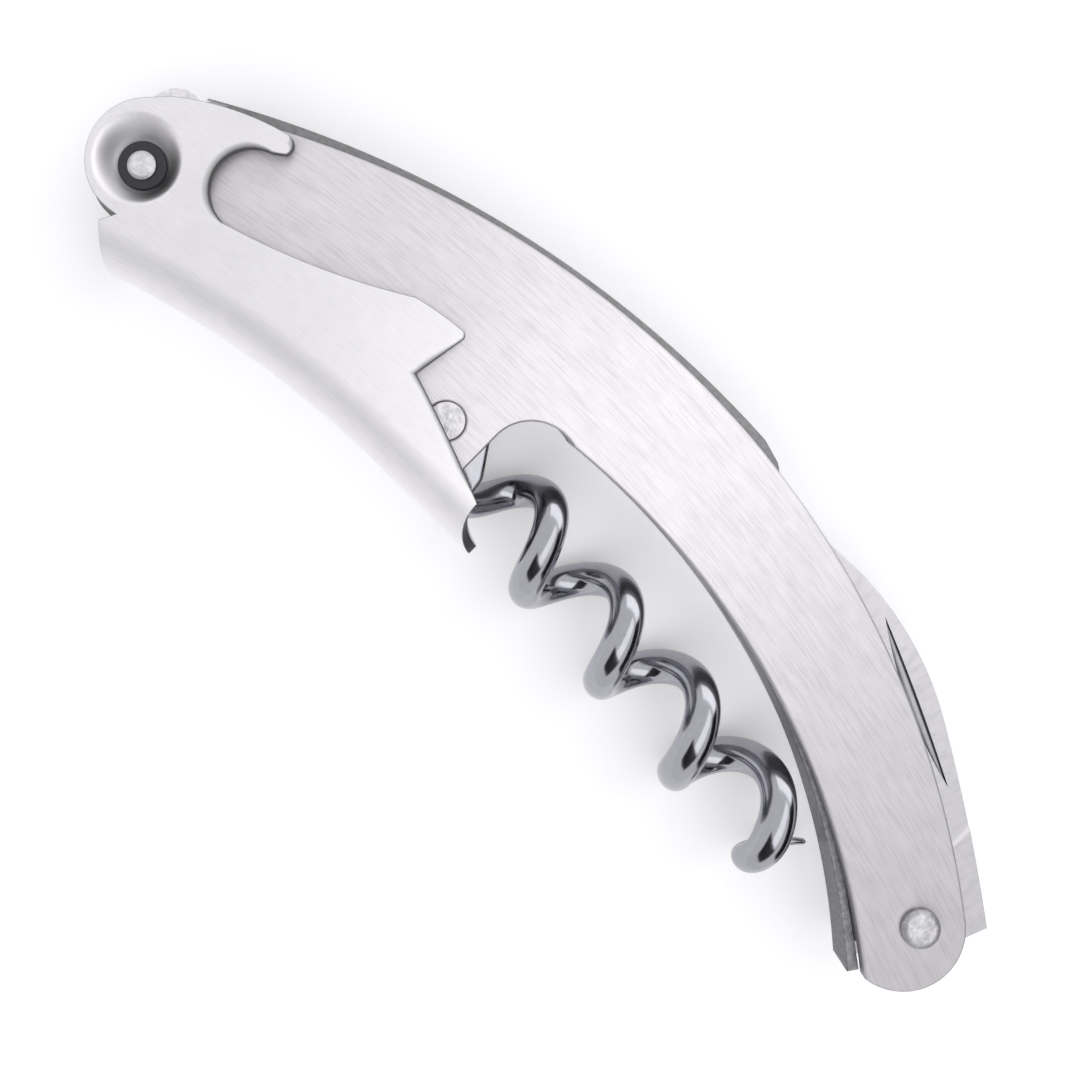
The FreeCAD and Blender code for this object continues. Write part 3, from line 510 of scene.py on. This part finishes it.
# The brushed lines and the grain are coarser than on real steel, where they are a few hundredths
# of a millimetre wide and too fine to show.
BRUSH = (43.0, -190.0, 205.0)
FINISHES = {
    # belt-brushed sheet: pale, with long lines along the handle
    "brushed_plate": metal("belt brushed stainless", "FAF7FB", 0.6,
                           brush=BRUSH + (0.18, 4.0, 0.01), dull=0.13, cloud=(2.5, 0.01, 0.04),
                           spread=0.8),
    # sawn core sheet: grainy; the spacer lays painted shade on all of it but its round end
    "spacer_steel": metal("sawn stainless core", "F2F0F3", 0.5, cloud=(0.5, 0.03, 0.2)),
    # spring: rough grey
    "spring_steel": metal("hardened spring steel", "A9A8AC", 0.45, cloud=(0.5, 0.04, 0.35)),
    # knife: pale, with broad faint marks of the grinding across it
    "blade_steel": metal("ground blade steel", "DAD8DC", 0.55,
                         brush=(31.0, -268.0, 280.0, 2.0, 0.6, 0.012), dull=0.12,
                         cloud=(0.8, 0.01, 0.04)),
    # lever: satin, with finer lines than the plates
    "lever_steel": metal("satin stainless sheet", "F6F4F7", 0.55,
                         brush=BRUSH + (0.15, 2.5, 0.004), dull=0.06, cloud=(3.0, 0.01, 0.03),
                         spread=0.6),
    # rivets: hammered ends with small dents
    "rivet_steel": metal("hammered rivet steel", "E9E7EA", 0.5, cloud=(0.7, 0.12, 0.25)),
    # washers: dark spring washers
    "washer_steel": metal("dark washer steel", "444347", 0.35),
    # worm: polished grey wire with faint unevenness
    "worm_steel": metal("polished wire", "A8A8AF", 0.16, cloud=(0.9, 0.008, 0.06)),
}


# ---------------------------------------------------------------- pieces

def plates():
    """Two alike, one on each side of the core."""
    relief, relief_x = 5.4, 4.14            # round cut about the lever pivot, and its ends' x
    relief_y = math.sqrt(relief ** 2 - relief_x ** 2)
    notch, corner, ease = 4.83, 0.8, 1.02   # ease flattens the corner's quarter round a little
    notch_x, notch_end = NOTCH[0] - notch, 50.15
    corner_y = crown(*LUG, notch_x - corner)
    tail_x, tail_middle = 107.7, np.array([106.9, -1.3])
    reach = tail_middle - np.array([BACK[0], BACK[1] - BACK_TAIL])
    tail = BACK_TAIL - math.hypot(*reach)   # radius of the round that ends in the back's arc
    tangent = tail_middle + reach / math.hypot(*reach) * tail
    corners = [
        (relief_x, crown(*LUG, relief_x), -LUG[2]),
        (notch_x - corner, corner_y, corner * ease),
        (notch_x, corner_y + corner, None),
        (notch_x, NOTCH[1], -notch),
        (notch_end, belly(notch_end), -BELLY[2]),
        (tail_x, belly(tail_x), tail),
        (tangent[0], tangent[1], BACK_TAIL),
        BACK,
        (relief_x, crown(*BACK, relief_x), None),
        (relief_x, relief_y, -relief),
        (relief_x, -relief_y, None),
    ]
    worm_hole, knife_hole, edge, clear = 1.95, 1.25, 0.28, 0.5
    loop = outline(corners, clear)
    holes = [ring(*WORM_PIVOT, worm_hole), ring(*KNIFE_PIVOT, knife_hole)]
    for cad_node, low in (("front_side_plate", CORE_HALF), ("rear_side_plate", -PLATE_OUTER)):
        skin = Skin()
        slab(skin, loop, low, low + PLATE, holes, edge)
        skin.build(cad_node, "handle", "brushed_plate")


def spacer():
    """Core between the plates; all of it but its round end is darkened by painted shade, where it
    lies sunk between the plates.
    """
    eye, notch, ledge = 5.0, 5.13, 3.91     # radii about worm pivot and notch, and belly setback
    wall_x, cut_x = 50.6, 67.11
    spine_from, spine_to = 63.6, -0.6
    corners = [
        (0.0, -6.0, None),
        (2.0, crown(*LUG, 2.0), -LUG[2]),
        (32.7, crown(*LUG, 32.7), None),
        on_circle(WORM_PIVOT, eye, 167.0) + (-eye,),
        on_circle(WORM_PIVOT, eye, 40.0) + (None,),
        on_circle(NOTCH, notch, 150.0) + (-notch,),
        (wall_x, round_top(*NOTCH, notch, wall_x), None),
        (wall_x, belly(wall_x, ledge), -(BELLY[2] + ledge)),
        (cut_x, belly(cut_x, ledge), None),
        (cut_x, 22.61, None),
        (66.12, 23.33, None),
        (spine_from, crown(*SPINE, spine_from), SPINE[2]),
        (spine_to, crown(*SPINE, spine_to), None),
        (spine_to, round_top(*BUMP, spine_to), BUMP[2]),
        (-4.64, BUMP[1], None),
        (-4.6, -1.4, 4.6),
    ]
    unshaded_reach, recess_painted_shade = 3.7, 0.3                 # radius of the round end left unshaded, and the painted shade of the rest, which lies sunk between the plates
    skin = Skin()
    slab(skin, outline(corners), -CORE_HALF, CORE_HALF, [ring(0, 0, LEVER_BORE)])
    points = np.concatenate(skin.points)
    unshaded_end = np.hypot(points[:, 0] - BUMP[0], points[:, 1] - BUMP[1]) < unshaded_reach
    skin.shades = [np.where(unshaded_end, 1.0, recess_painted_shade)]
    skin.build("centre_spacer", "handle", "spacer_steel")


def spring():
    """Leaf inside the belly, from its root under the plates to the seat of the knife's tang."""
    half, inset, top = 1.775, 0.3, 3.86     # half thickness, and setbacks of its two edges
    root_x, root_end = 50.65, 66.4
    corners = [
        (root_x, belly(root_x, inset), -(BELLY[2] + inset)),
        (67.0, belly(67.0, inset), -75.3),
        (107.0, -8.45, None),
        seat(6.01, 4.4) + (None,),
        seat(6.01, -4.2) + (92.0,),
        (root_end, belly(root_end, top), BELLY[2] + top),
        (root_x, belly(root_x, top), None),
    ]
    skin = Skin()
    slab(skin, outline(corners), -half, half)
    skin.build("knife_spring", "handle", "spring_steel")


def from_start(chosen, first):
    """Point numbers in loop order, turned so that they begin with the given one."""
    return np.roll(chosen, -int(np.flatnonzero(chosen == first)[0]))


def knife():
    """Folded blade. Its faces are ground a little thinner from the plunge line to the point, and
    both are bevelled along the cutting edge."""
    tang_half, blade_half, plunge_x = 1.7, 1.55, 105.9
    tip, heel = (69.5, 19.6), (98.6, 6.6)   # ends of the cutting edge
    end, clear = 4.6, 0.7                   # radius of the tang's end, and room for the bevel
    corners = [
        tip + (-124.0,),
        heel + (None,),
        (101.2, 4.1, None),
        seat(5.95, -2.9) + (None,),
        seat(5.95, 1.7) + (None,),
        on_circle(KNIFE_PIVOT, end, -68.0) + (end,),
        (112.4, 0.0, None),
        (113.21, 2.17, None),
        (114.15, 4.55, 189.9),
        (96.0, 16.79, 33.71),
        (76.7, 21.23, 16.85),
    ]
    loop = outline(corners, clear)
    thinned = loop[:, 0] < plunge_x
    high = np.where(thinned, blade_half, tang_half)

    # bevel: edge everywhere, wide and deep along the cutting edge, tapering out at its two ends
    edge, bevel_wide, bevel_deep, tip_taper, heel_taper, reach = 0.12, 3.0, 1.1, 0.3, 0.04, 0.3
    run = (loop[:, 0] - tip[0]) / (heel[0] - tip[0])
    chord = tip[1] + (heel[1] - tip[1]) * run
    on_edge = thinned & (loop[:, 1] < chord + reach) & (run < 1.0)
    taper = np.clip(np.minimum(run / tip_taper, (1.0 - run) / heel_taper), 0, 1)
    wide = np.where(on_edge, edge + bevel_wide * taper, edge)[:, None]
    deep = np.where(on_edge, edge + bevel_deep * taper, edge)[:, None]
    skin = Skin()
    top = np.column_stack([loop, high])
    out = mitres(top, upright(top))
    unit = out / np.linalg.norm(out, axis=1)[:, None]
    down = UP * 2 * high[:, None]
    rows = np.array([top - out * wide, top - UP * deep, top - down + UP * deep,
                     top - down - out * wide])
    ids = skin.add(rows, unit)
    skin.grid(ids[:2], closed=True, flat=True)
    skin.grid(ids[1:3], closed=True)
    skin.grid(ids[2:], closed=True, flat=True)
    hole = ring(*KNIFE_PIVOT, KNIFE_BORE)[::-1]
    bore_top, bore_low, bore_at, bore_under = rim(skin, lift(hole, tang_half), upright(hole),
                                                  2 * tang_half, EDGE)

    # faces, split at the plunge line into blade and tang
    count = len(loop)
    ahead = np.roll(thinned, -1)
    order = np.arange(count)
    blade = from_start(order[thinned], (int(np.flatnonzero(~thinned & ahead)[0]) + 1) % count)
    tang = from_start(order[~thinned], (int(np.flatnonzero(thinned & ~ahead)[0]) + 1) % count)
    nick = [(101.44, 11.95, 200.0), (84.78, 19.84, 48.0)]
    # the third value of each step is painted shade in the nick, darkest near its walls
    nick_steps = [(0.0, 0.0, 1.0), (0.01, 0.02, 0.2), (0.12, 0.3, 0.2), (0.4, 0.45, 0.35),
                  (0.8, 0.4, 0.9)]
    nick_ids, nick_at = groove(skin, outline(nick), nick[0][:2], nick[1][:2], blade_half,
                               nick_steps)
    skin.cap([ids[0][blade], nick_ids], [rows[0][blade], nick_at])
    skin.cap([ids[0][tang], bore_top], [rows[0][tang], bore_at])
    skin.cap([ids[3][blade]], [rows[3][blade]], flip=True)
    skin.cap([ids[3][tang], bore_low], [rows[3][tang], bore_under], flip=True)
    for level, flip in ((0, False), (3, True)):
        plunge = ids[level][[blade[-1], tang[0], tang[-1], blade[0]]]
        skin.flat.append(len(skin.faces))
        skin.faces.append((plunge[::-1] if flip else plunge).tolist())
    skin.build("knife_blade", "knife", "blade_steel")


def bowl_rows(extra, drop, sign):
    """Pressed bowl from its rim to its floor: rows of circles whose middle moves from the rim's
    to the pivot. The height follows a soft S between the two. extra widens it and drop lowers
    it, for the sheet's inner side; sign is the cheek's side."""
    share = np.linspace(0, 1, BOWL_ROWS)
    soft = share * share * (3 - 2 * share)
    radius = (BOWL_RIM + (BOWL_FLOOR - BOWL_RIM) * share) + extra
    middle = np.stack([part * (1 - share) for part in BOWL_MIDDLE], 1)
    turn = round_angles(FINE_RING)
    z = CHEEK_OUTER - drop - BOWL_DEPTH * soft
    x = middle[:, :1] + radius[:, None] * np.cos(turn)
    y = middle[:, 1:] + radius[:, None] * np.sin(turn)
    rows = np.stack([x, y, np.broadcast_to(z[:, None], x.shape) * sign], -1)
    down = np.gradient(rows, axis=0)
    aside = np.roll(rows, -1, 1) - np.roll(rows, 1, 1)
    tilt = np.cross(down, aside)
    tilt *= np.sign(tilt[..., 2:] * sign + 1e-9)
    return rows, tilt


def lever():
    """One folded sheet. The outer skin is two flat cheeks with a bowl each and the half-round
    fold between them; the inner skin lies one sheet thickness behind it. The line along the
    fold, level with the cheeks' lower edges, is an arc that goes straight past its top."""
    radius, axis = 4.65, 109.2              # of the fold, and of the arc along it
    top_x, top_y = 37.0, -0.6
    lip_x, slope = 1.1, math.tan(math.radians(42.0))
    lip_y = crown(top_x, top_y, axis, lip_x)
    foot_x, foot_y, foot = 51.62, -0.74, 4.63
    columns, halvings = 49, 50              # round the fold, and to find its two ends

    theta = np.linspace(0, math.pi, columns)
    depth = radius * np.sin(theta)

    def at(run, below):
        """Point below the fold's line, at a run along it from its top."""
        lean = np.minimum(run, 0) / axis
        x = top_x + axis * np.sin(lean) + np.maximum(run, 0) - below * np.sin(lean)
        y = top_y - axis + axis * np.cos(lean) - below * np.cos(lean)
        return x, y

    def meet(past, low, high):
        """Run at which past turns true, for every depth at once, by halving."""
        low, high = np.full(len(depth), low), np.full(len(depth), high)
        for _ in range(halvings):
            half = (low + high) / 2
            over = past(*at(half, depth))
            low, high = np.where(over, low, half), np.where(over, half, high)
        return (low + high) / 2

    def surface(run):
        """Points and normals of the fold, one column for each angle round it."""
        x, y = at(run, depth)
        lean = np.minimum(run, 0) / axis
        level = np.broadcast_to(np.cos(theta), x.shape)
        points = np.stack([x, y, radius * level], -1)
        normals = np.stack([-np.sin(lean) * np.sin(theta), -np.cos(lean) * np.sin(theta), level],
                           -1)
        return points, normals

    first = meet(lambda x, y: x > lip_x + (lip_y - y) * slope, -45.0, 10.0)
    last = meet(lambda x, y: (x - foot_x) ** 2 + (y - foot_y) ** 2 < foot ** 2, 0.0, 16.0)
    last[depth < 1e-6] = foot_x - math.sqrt(foot ** 2 - (top_y - foot_y) ** 2) - top_x
    start_points, start_normals = surface(first)
    end_points, end_normals = surface(last)
    mouth = (9.81, 5.79, 4.22)              # bottle-opener mouth: x, y and radius
    cheek = outline([
        (end_points[0, 0], top_y, 150.5),
        (33.82, 4.29, None),
        (34.78, 9.9, 0.55),
        (34.1, 10.5, 30.0),
        (28.48, 9.6, -74.68),
        (mouth[0], mouth[1] - mouth[2], -mouth[2]),
        (8.6, round_top(*mouth, 8.6), None),
        (9.75, 10.7, 1.12),
        (8.3, 12.2, 28.5),
        (-2.21, 7.0, None),
        (-4.09, 5.02, 6.114),
        (1.9, -5.09, None),
        (lip_x, lip_y, None),
    ])
    cheek = cheek[:int(np.argmin(np.hypot(cheek[:, 0] - lip_x, cheek[:, 1] - lip_y)))]

    # border of the sheet: front cheek, lip of the fold, rear cheek, foot of the fold
    front = lift(cheek, CHEEK_OUTER)
    rear = lift(cheek[::-1], -CHEEK_OUTER)
    border = np.concatenate([front, start_points, rear, end_points[::-1][1:-1]])
    tilt = np.concatenate([upright(front), start_normals, -upright(rear),
                           end_normals[::-1][1:-1]])

    # wider edge round on the flat cheeks, where the edge faces the knife
    widest, bowl_clear, level_cosine, gain, mean_of = 0.7, 4.75, 0.999, 2, 3
    held = np.abs(tilt[:, 2]) < level_cosine
    roll = free_inset(border, tilt, EDGE, widest, BOWL_MIDDLE + (bowl_clear,), held)
    facing = around(np.clip(mitres(border, tilt)[:, 0] * gain, 0, 1), mean_of).mean(0)
    roll = EDGE + (roll - EDGE) * facing
    skin = Skin()
    # dark painted shade on the sheet's edge rounds and walls
    outer, inner, outer_at, inner_at = rim(skin, border, tilt, SHEET, EDGE, steps=7, roll=roll,
                                           wall_painted_shade=0.1)

    # both skins of the fold and of the cheeks, each cheek's loop closed along the fold's seam
    rows, bowl_painted_shade, bowl_wider = 60, 0.45, 0.15
    share = np.linspace(0, 1, rows)[1:-1]
    mid_points, mid_normals = surface(first + (last - first) * share[:, None])
    lip = len(front)
    back_cheek = lip + len(theta)
    foot_at = back_cheek + len(rear)
    lip_row = np.arange(lip, back_cheek)
    foot_row = np.concatenate([[0], np.arange(len(border) - 1, foot_at - 2, -1)])
    cheeks = ((1, np.arange(lip + 1), np.s_[:, 0]),
              (-1, np.arange(back_cheek - 1, foot_at), np.s_[::-1, -1]))
    for ids, at_points, back_off, flip in ((outer, outer_at, 0.0, False),
                                           (inner, inner_at, SHEET, True)):
        way = -1.0 if flip else 1.0
        middle = skin.add(mid_points - mid_normals * back_off, mid_normals * way)
        skin.grid(np.concatenate([ids[lip_row][None], middle, ids[foot_row][None]]),
                  flip=not flip)
        for sign, part, seam in cheeks:
            bowl, slant = bowl_rows(bowl_wider if flip else 0.0, back_off, sign)
            # painted shade: each bowl darkens from its rim down to its floor
            painted_fade = np.linspace(1.0, bowl_painted_shade, len(bowl))[:, None]
            bowl_ids = skin.add(bowl, slant * way, np.repeat(painted_fade, FINE_RING, 1))
            bottom = lift(ring(0, 0, LEVER_BORE, FINE_RING), bowl[-1, 0, 2])
            bottom_ids = skin.add(bottom, UP * sign * way)
            skin.grid(np.concatenate([bowl_ids, bottom_ids[None]]), closed=True,
                      flip=(sign > 0) != flip)
            skin.cap([np.concatenate([ids[part], middle[seam]]), bowl_ids[0]],
                     [np.concatenate([at_points[part], mid_points[seam]]), bowl[0]],
                     flip=(sign < 0) != flip)
    skin.build("boot_lever", "lever", "lever_steel")


def washers():
    """One in each bowl, round the lever's rivet."""
    radius, low, high, edge = 2.45, 2.98, 3.45, 0.14
    for sign, cad_node in ((1, "front_lever_washer"), (-1, "rear_lever_washer")):
        skin = Skin()
        bottom, top = sorted((sign * low, sign * high))
        slab(skin, ring(0, 0, radius), bottom, top, [ring(0, 0, LEVER_BORE)], edge)
        skin.build(cad_node, "lever", "washer_steel")


def pin(cad_node, body, places, profile, flank_painted_shade=1.0):
    """Rivets with the same turned end on both sides. profile and the painted shade of the steep
    parts are those of lathe.
    """
    skin = Skin()
    for x, y in places:
        upper = lathe(skin, profile, x, y, flank_painted_shade=flank_painted_shade)
        lower = lathe(skin, profile, x, y, flip=True, flank_painted_shade=flank_painted_shade)
        skin.grid(np.stack([upper[0], lower[0]]), closed=True)
    skin.build(cad_node, body, "rivet_steel")


def rivets():
    """Profiles are (radius, height) from inside the shank out to the end face."""
    peened = [(1.2, 1.0), (1.2, 3.48), (1.45, 3.48), (1.45, 3.66), (1.15, 3.8), (0, 3.8)]
    domed = [(1.25, 1.0), (1.25, 3.4), (2.0, 3.41), (1.97, 3.7), (1.55, 4.02), (0, 4.1)]
    ground = [(1.93, 1.0), (1.93, 3.36), (0, 3.38)]
    hidden = [(1.2, 1.0), (1.2, 3.3), (0, 3.3)]
    # the last value is painted shade on the rivet ends' steep sides
    pin("lever_rivet", "lever", [(0, 0)], soften(peened, 0.12), flank_painted_shade=0.5)
    pin("knife_rivet", "handle", [KNIFE_PIVOT], soften(domed, 0.4), flank_painted_shade=0.3)
    pin("worm_rivet", "handle", [WORM_PIVOT], soften(ground, 0.14))
    pin("spacer_rivets", "handle", [(14.5, 0.2), (26.5, 4.8)], soften(hidden, 0.1))
    pin("spring_rivets", "handle", [(53.9, 12.25), (62.5, 12.25)], soften(hidden, 0.1))


def worm():
    """Round wire along a tilted helix, and its flat tang. Centre at a turn t: the axis point at
    phase plus pitch times t over 360, plus coil width times cos t across the axis, plus coil
    height times sin t upwards. The coil grows out of the tang over the root's turn, and the wire
    thins over the taper's. The tang touches three circles from outside: at each bearing it takes
    the circle that reaches furthest."""
    wire, coil, pitch = 1.75, 3.8, 12.0
    start, stop, rings = -185.0, 1380.0, 471        # 28 degrees further than the CAD solid's point
    root, root_wide, root_high = 140.0, 3.2, 1.0
    taper, point, draw = 210.0, 0.3, 1.0            # draw holds the tapering turn back
    phase, offset = 51.6, 6.35
    spokes, root_cap, point_cap = 40, 0.3, 0.25     # points round the wire, heights of its ends
    tilt = math.radians(-6.4)
    along = np.array([math.cos(tilt), math.sin(tilt), 0])
    across = np.array([-math.sin(tilt), math.cos(tilt), 0])
    turn = np.linspace(start, stop, rings)
    grown = np.minimum((turn - start) / root, 1.0)
    eased = grown * grown * (3 - 2 * grown)
    wide = root_wide + (coil - root_wide) * eased
    high = root_high + (coil - root_high) * eased
    left = np.minimum((stop - turn) / taper, 1.0)
    t = np.radians(turn)
    out = across * np.cos(t)[:, None] + UP * np.sin(t)[:, None]
    run = phase + pitch * turn / 360 - draw * np.sin(math.pi * left) ** 2
    centre = (along * run[:, None] + across * (offset + wide * np.cos(t))[:, None]
              + UP * (high * np.sin(t))[:, None])
    ahead = np.gradient(centre, axis=0)
    ahead /= np.linalg.norm(ahead, axis=1)[:, None]
    side = out - ahead * (out * ahead).sum(1)[:, None]
    side /= np.linalg.norm(side, axis=1)[:, None]
    other = np.cross(ahead, side)
    thick = point + (wire - point) * left
    angle = round_angles(spokes)[None, :, None]
    spoke = side[:, None] * np.cos(angle) + other[:, None] * np.sin(angle)
    skin = Skin()
    ids = skin.add(centre[:, None] + spoke * thick[:, None, None], spoke)
    skin.grid(ids, closed=True, flip=True)
    skin.fan(ids[0], centre[0] - ahead[0] * root_cap, -ahead[0], flip=True)
    skin.fan(ids[-1], centre[-1] + ahead[-1] * point_cap, ahead[-1])

    tang_half, tang_points, edge = 1.75, 200, 0.5
    circles = [(WORM_PIVOT, 4.8), ((44.6, 0.6), 1.6), ((44.9, -1.5), 1.6)]
    bearing = round_angles(tang_points)
    way = np.stack([np.cos(bearing), np.sin(bearing)], 1)
    reach = np.array([way @ np.array(middle) + size for middle, size in circles])
    touch = np.array([np.array(middle) + size * way for middle, size in circles])
    loop = touch[reach.argmax(0), np.arange(tang_points)]
    slab(skin, loop, -tang_half, tang_half, [ring(*WORM_PIVOT, WORM_BORE)], edge)
    skin.build("worm", "worm", "worm_steel")


plates()
spacer()
spring()
knife()
lever()
washers()
rivets()
worm()

# ---------------------------------------------------------------- stage, light, camera

def board(name, paint, size, face, colour, roughness):
    """Flat dull rectangle about the origin. face is the order of its corners."""
    x, y = size[0] / 2, size[1] / 2
    mesh = bpy.data.meshes.new(name)
    mesh.from_pydata([(-x, -y, 0), (x, -y, 0), (x, y, 0), (-x, y, 0)], [], [face])
    material = bpy.data.materials.new(paint)
    material.use_nodes = True
    shader = material.node_tree.nodes["Principled BSDF"]
    shader.inputs["Base Color"].default_value = linear(colour)
    shader.inputs["Roughness"].default_value = roughness
    shader.inputs["Specular IOR Level"].default_value = 0.0
    mesh.materials.append(material)
    made = bpy.data.objects.new(name, mesh)
    bpy.context.scene.collection.objects.link(made)
    return made


def choose(tree, usual, looked_at, output):
    """Sends looked_at to the output for camera, glossy and transmission rays, and usual for the
    light that falls on things."""
    path = node(tree, "ShaderNodeLightPath").outputs
    seen = maths(tree, "MAXIMUM", path["Is Camera Ray"], path["Is Glossy Ray"])
    seen = maths(tree, "MAXIMUM", seen, path["Is Transmission Ray"])
    mix = node(tree, "ShaderNodeMixShader", i0=seen, i1=usual, i2=looked_at)
    tree.links.new(mix.outputs[0], tree.nodes[output].inputs["Surface"])


def floor():
    """White paper, with a faint glow that only views and reflections of it pick up."""
    plane = board("floor", "matt white paper", (4.0, 4.0), (0, 1, 2, 3), "F6F6F6", 0.9)
    tree = plane.data.materials[0].node_tree
    paper = tree.nodes["Principled BSDF"].outputs[0]
    glow = node(tree, "ShaderNodeEmission", Color=(1, 1, 1, 1), Strength=0.2)
    both = node(tree, "ShaderNodeAddShader", i0=paper, i1=glow.outputs[0])
    choose(tree, paper, both.outputs[0], "Material Output")


def aim(made, place, target):
    """Puts an object at a place with its lower side turned to the target."""
    way = np.array(place) - np.array(target)
    made.location = place
    made.rotation_euler = (math.atan2(math.hypot(way[0], way[1]), way[2]), 0,
                           math.atan2(way[1], way[0]) + math.pi / 2)
    made.visible_camera = False


def lamp(name, place, target, size, power):
    """Soft rectangular light, in metres and watts."""
    data = bpy.data.lights.new(name, "AREA")
    data.shape = "RECTANGLE"
    data.size, data.size_y = size
    data.energy = power
    made = bpy.data.objects.new(name, data)
    bpy.context.scene.collection.objects.link(made)
    aim(made, place, target)


def card(name, place, target, size, colour):
    """Dull board that the metal reflects; it takes no light away."""
    made = board(name, name, size, (3, 2, 1, 0), colour, 1.0)
    made.visible_diffuse = made.visible_shadow = made.visible_transmission = False
    aim(made, place, target)


def world():
    """White room. It gives the fill light and stands behind the tool in low views."""
    made = bpy.data.worlds.new("studio")
    bpy.context.scene.world = made
    made.use_nodes = True
    tree = made.node_tree
    fill = tree.nodes["Background"]
    fill.inputs["Color"].default_value = (0.97, 0.97, 1.0, 1.0)
    fill.inputs["Strength"].default_value = 0.75
    plain = node(tree, "ShaderNodeBackground", Color=(1, 1, 1, 1), Strength=1.0)
    choose(tree, fill.outputs[0], plain.outputs[0], "World Output")


def camera():
    """Looks straight down, turned so that the tool lies from corner to corner."""
    data = bpy.data.cameras.new("camera")
    made = bpy.data.objects.new("camera", data)
    bpy.context.scene.collection.objects.link(made)
    data.lens, data.sensor_width = 30.97, 36.0
    data.shift_x, data.shift_y = 0.0833, -0.1759
    data.clip_start = 0.001
    made.location = (-0.01964, 0.00134, 0.10095)
    made.rotation_euler = (0, 0, math.radians(44.43))
    bpy.context.scene.camera = made


for name in ("Cube", "Light", "Camera"):
    if name in bpy.data.objects:
        bpy.data.objects.remove(bpy.data.objects[name])
floor()
world()
camera()
card("ceiling card", (0.05, -0.3, 0.3), (0.05, -0.3, 0), (0.4, 0.42), "1C1D22")
card("tail side card", (0.34, 0.12, 0.115), (0, 0, 0), (0.5, 0.23), "1C1D22")
lamp("overhead strip", (0.10, 0.04, 0.35), (0.10, 0.04, 0), (0.9, 0.22), 0.52)
lamp("back side softbox", (-0.1, 0.6, 0.17), (0, 0, 0.17), (1.0, 0.3), 1.0)
bpy.context.scene.view_settings.view_transform = "Standard"
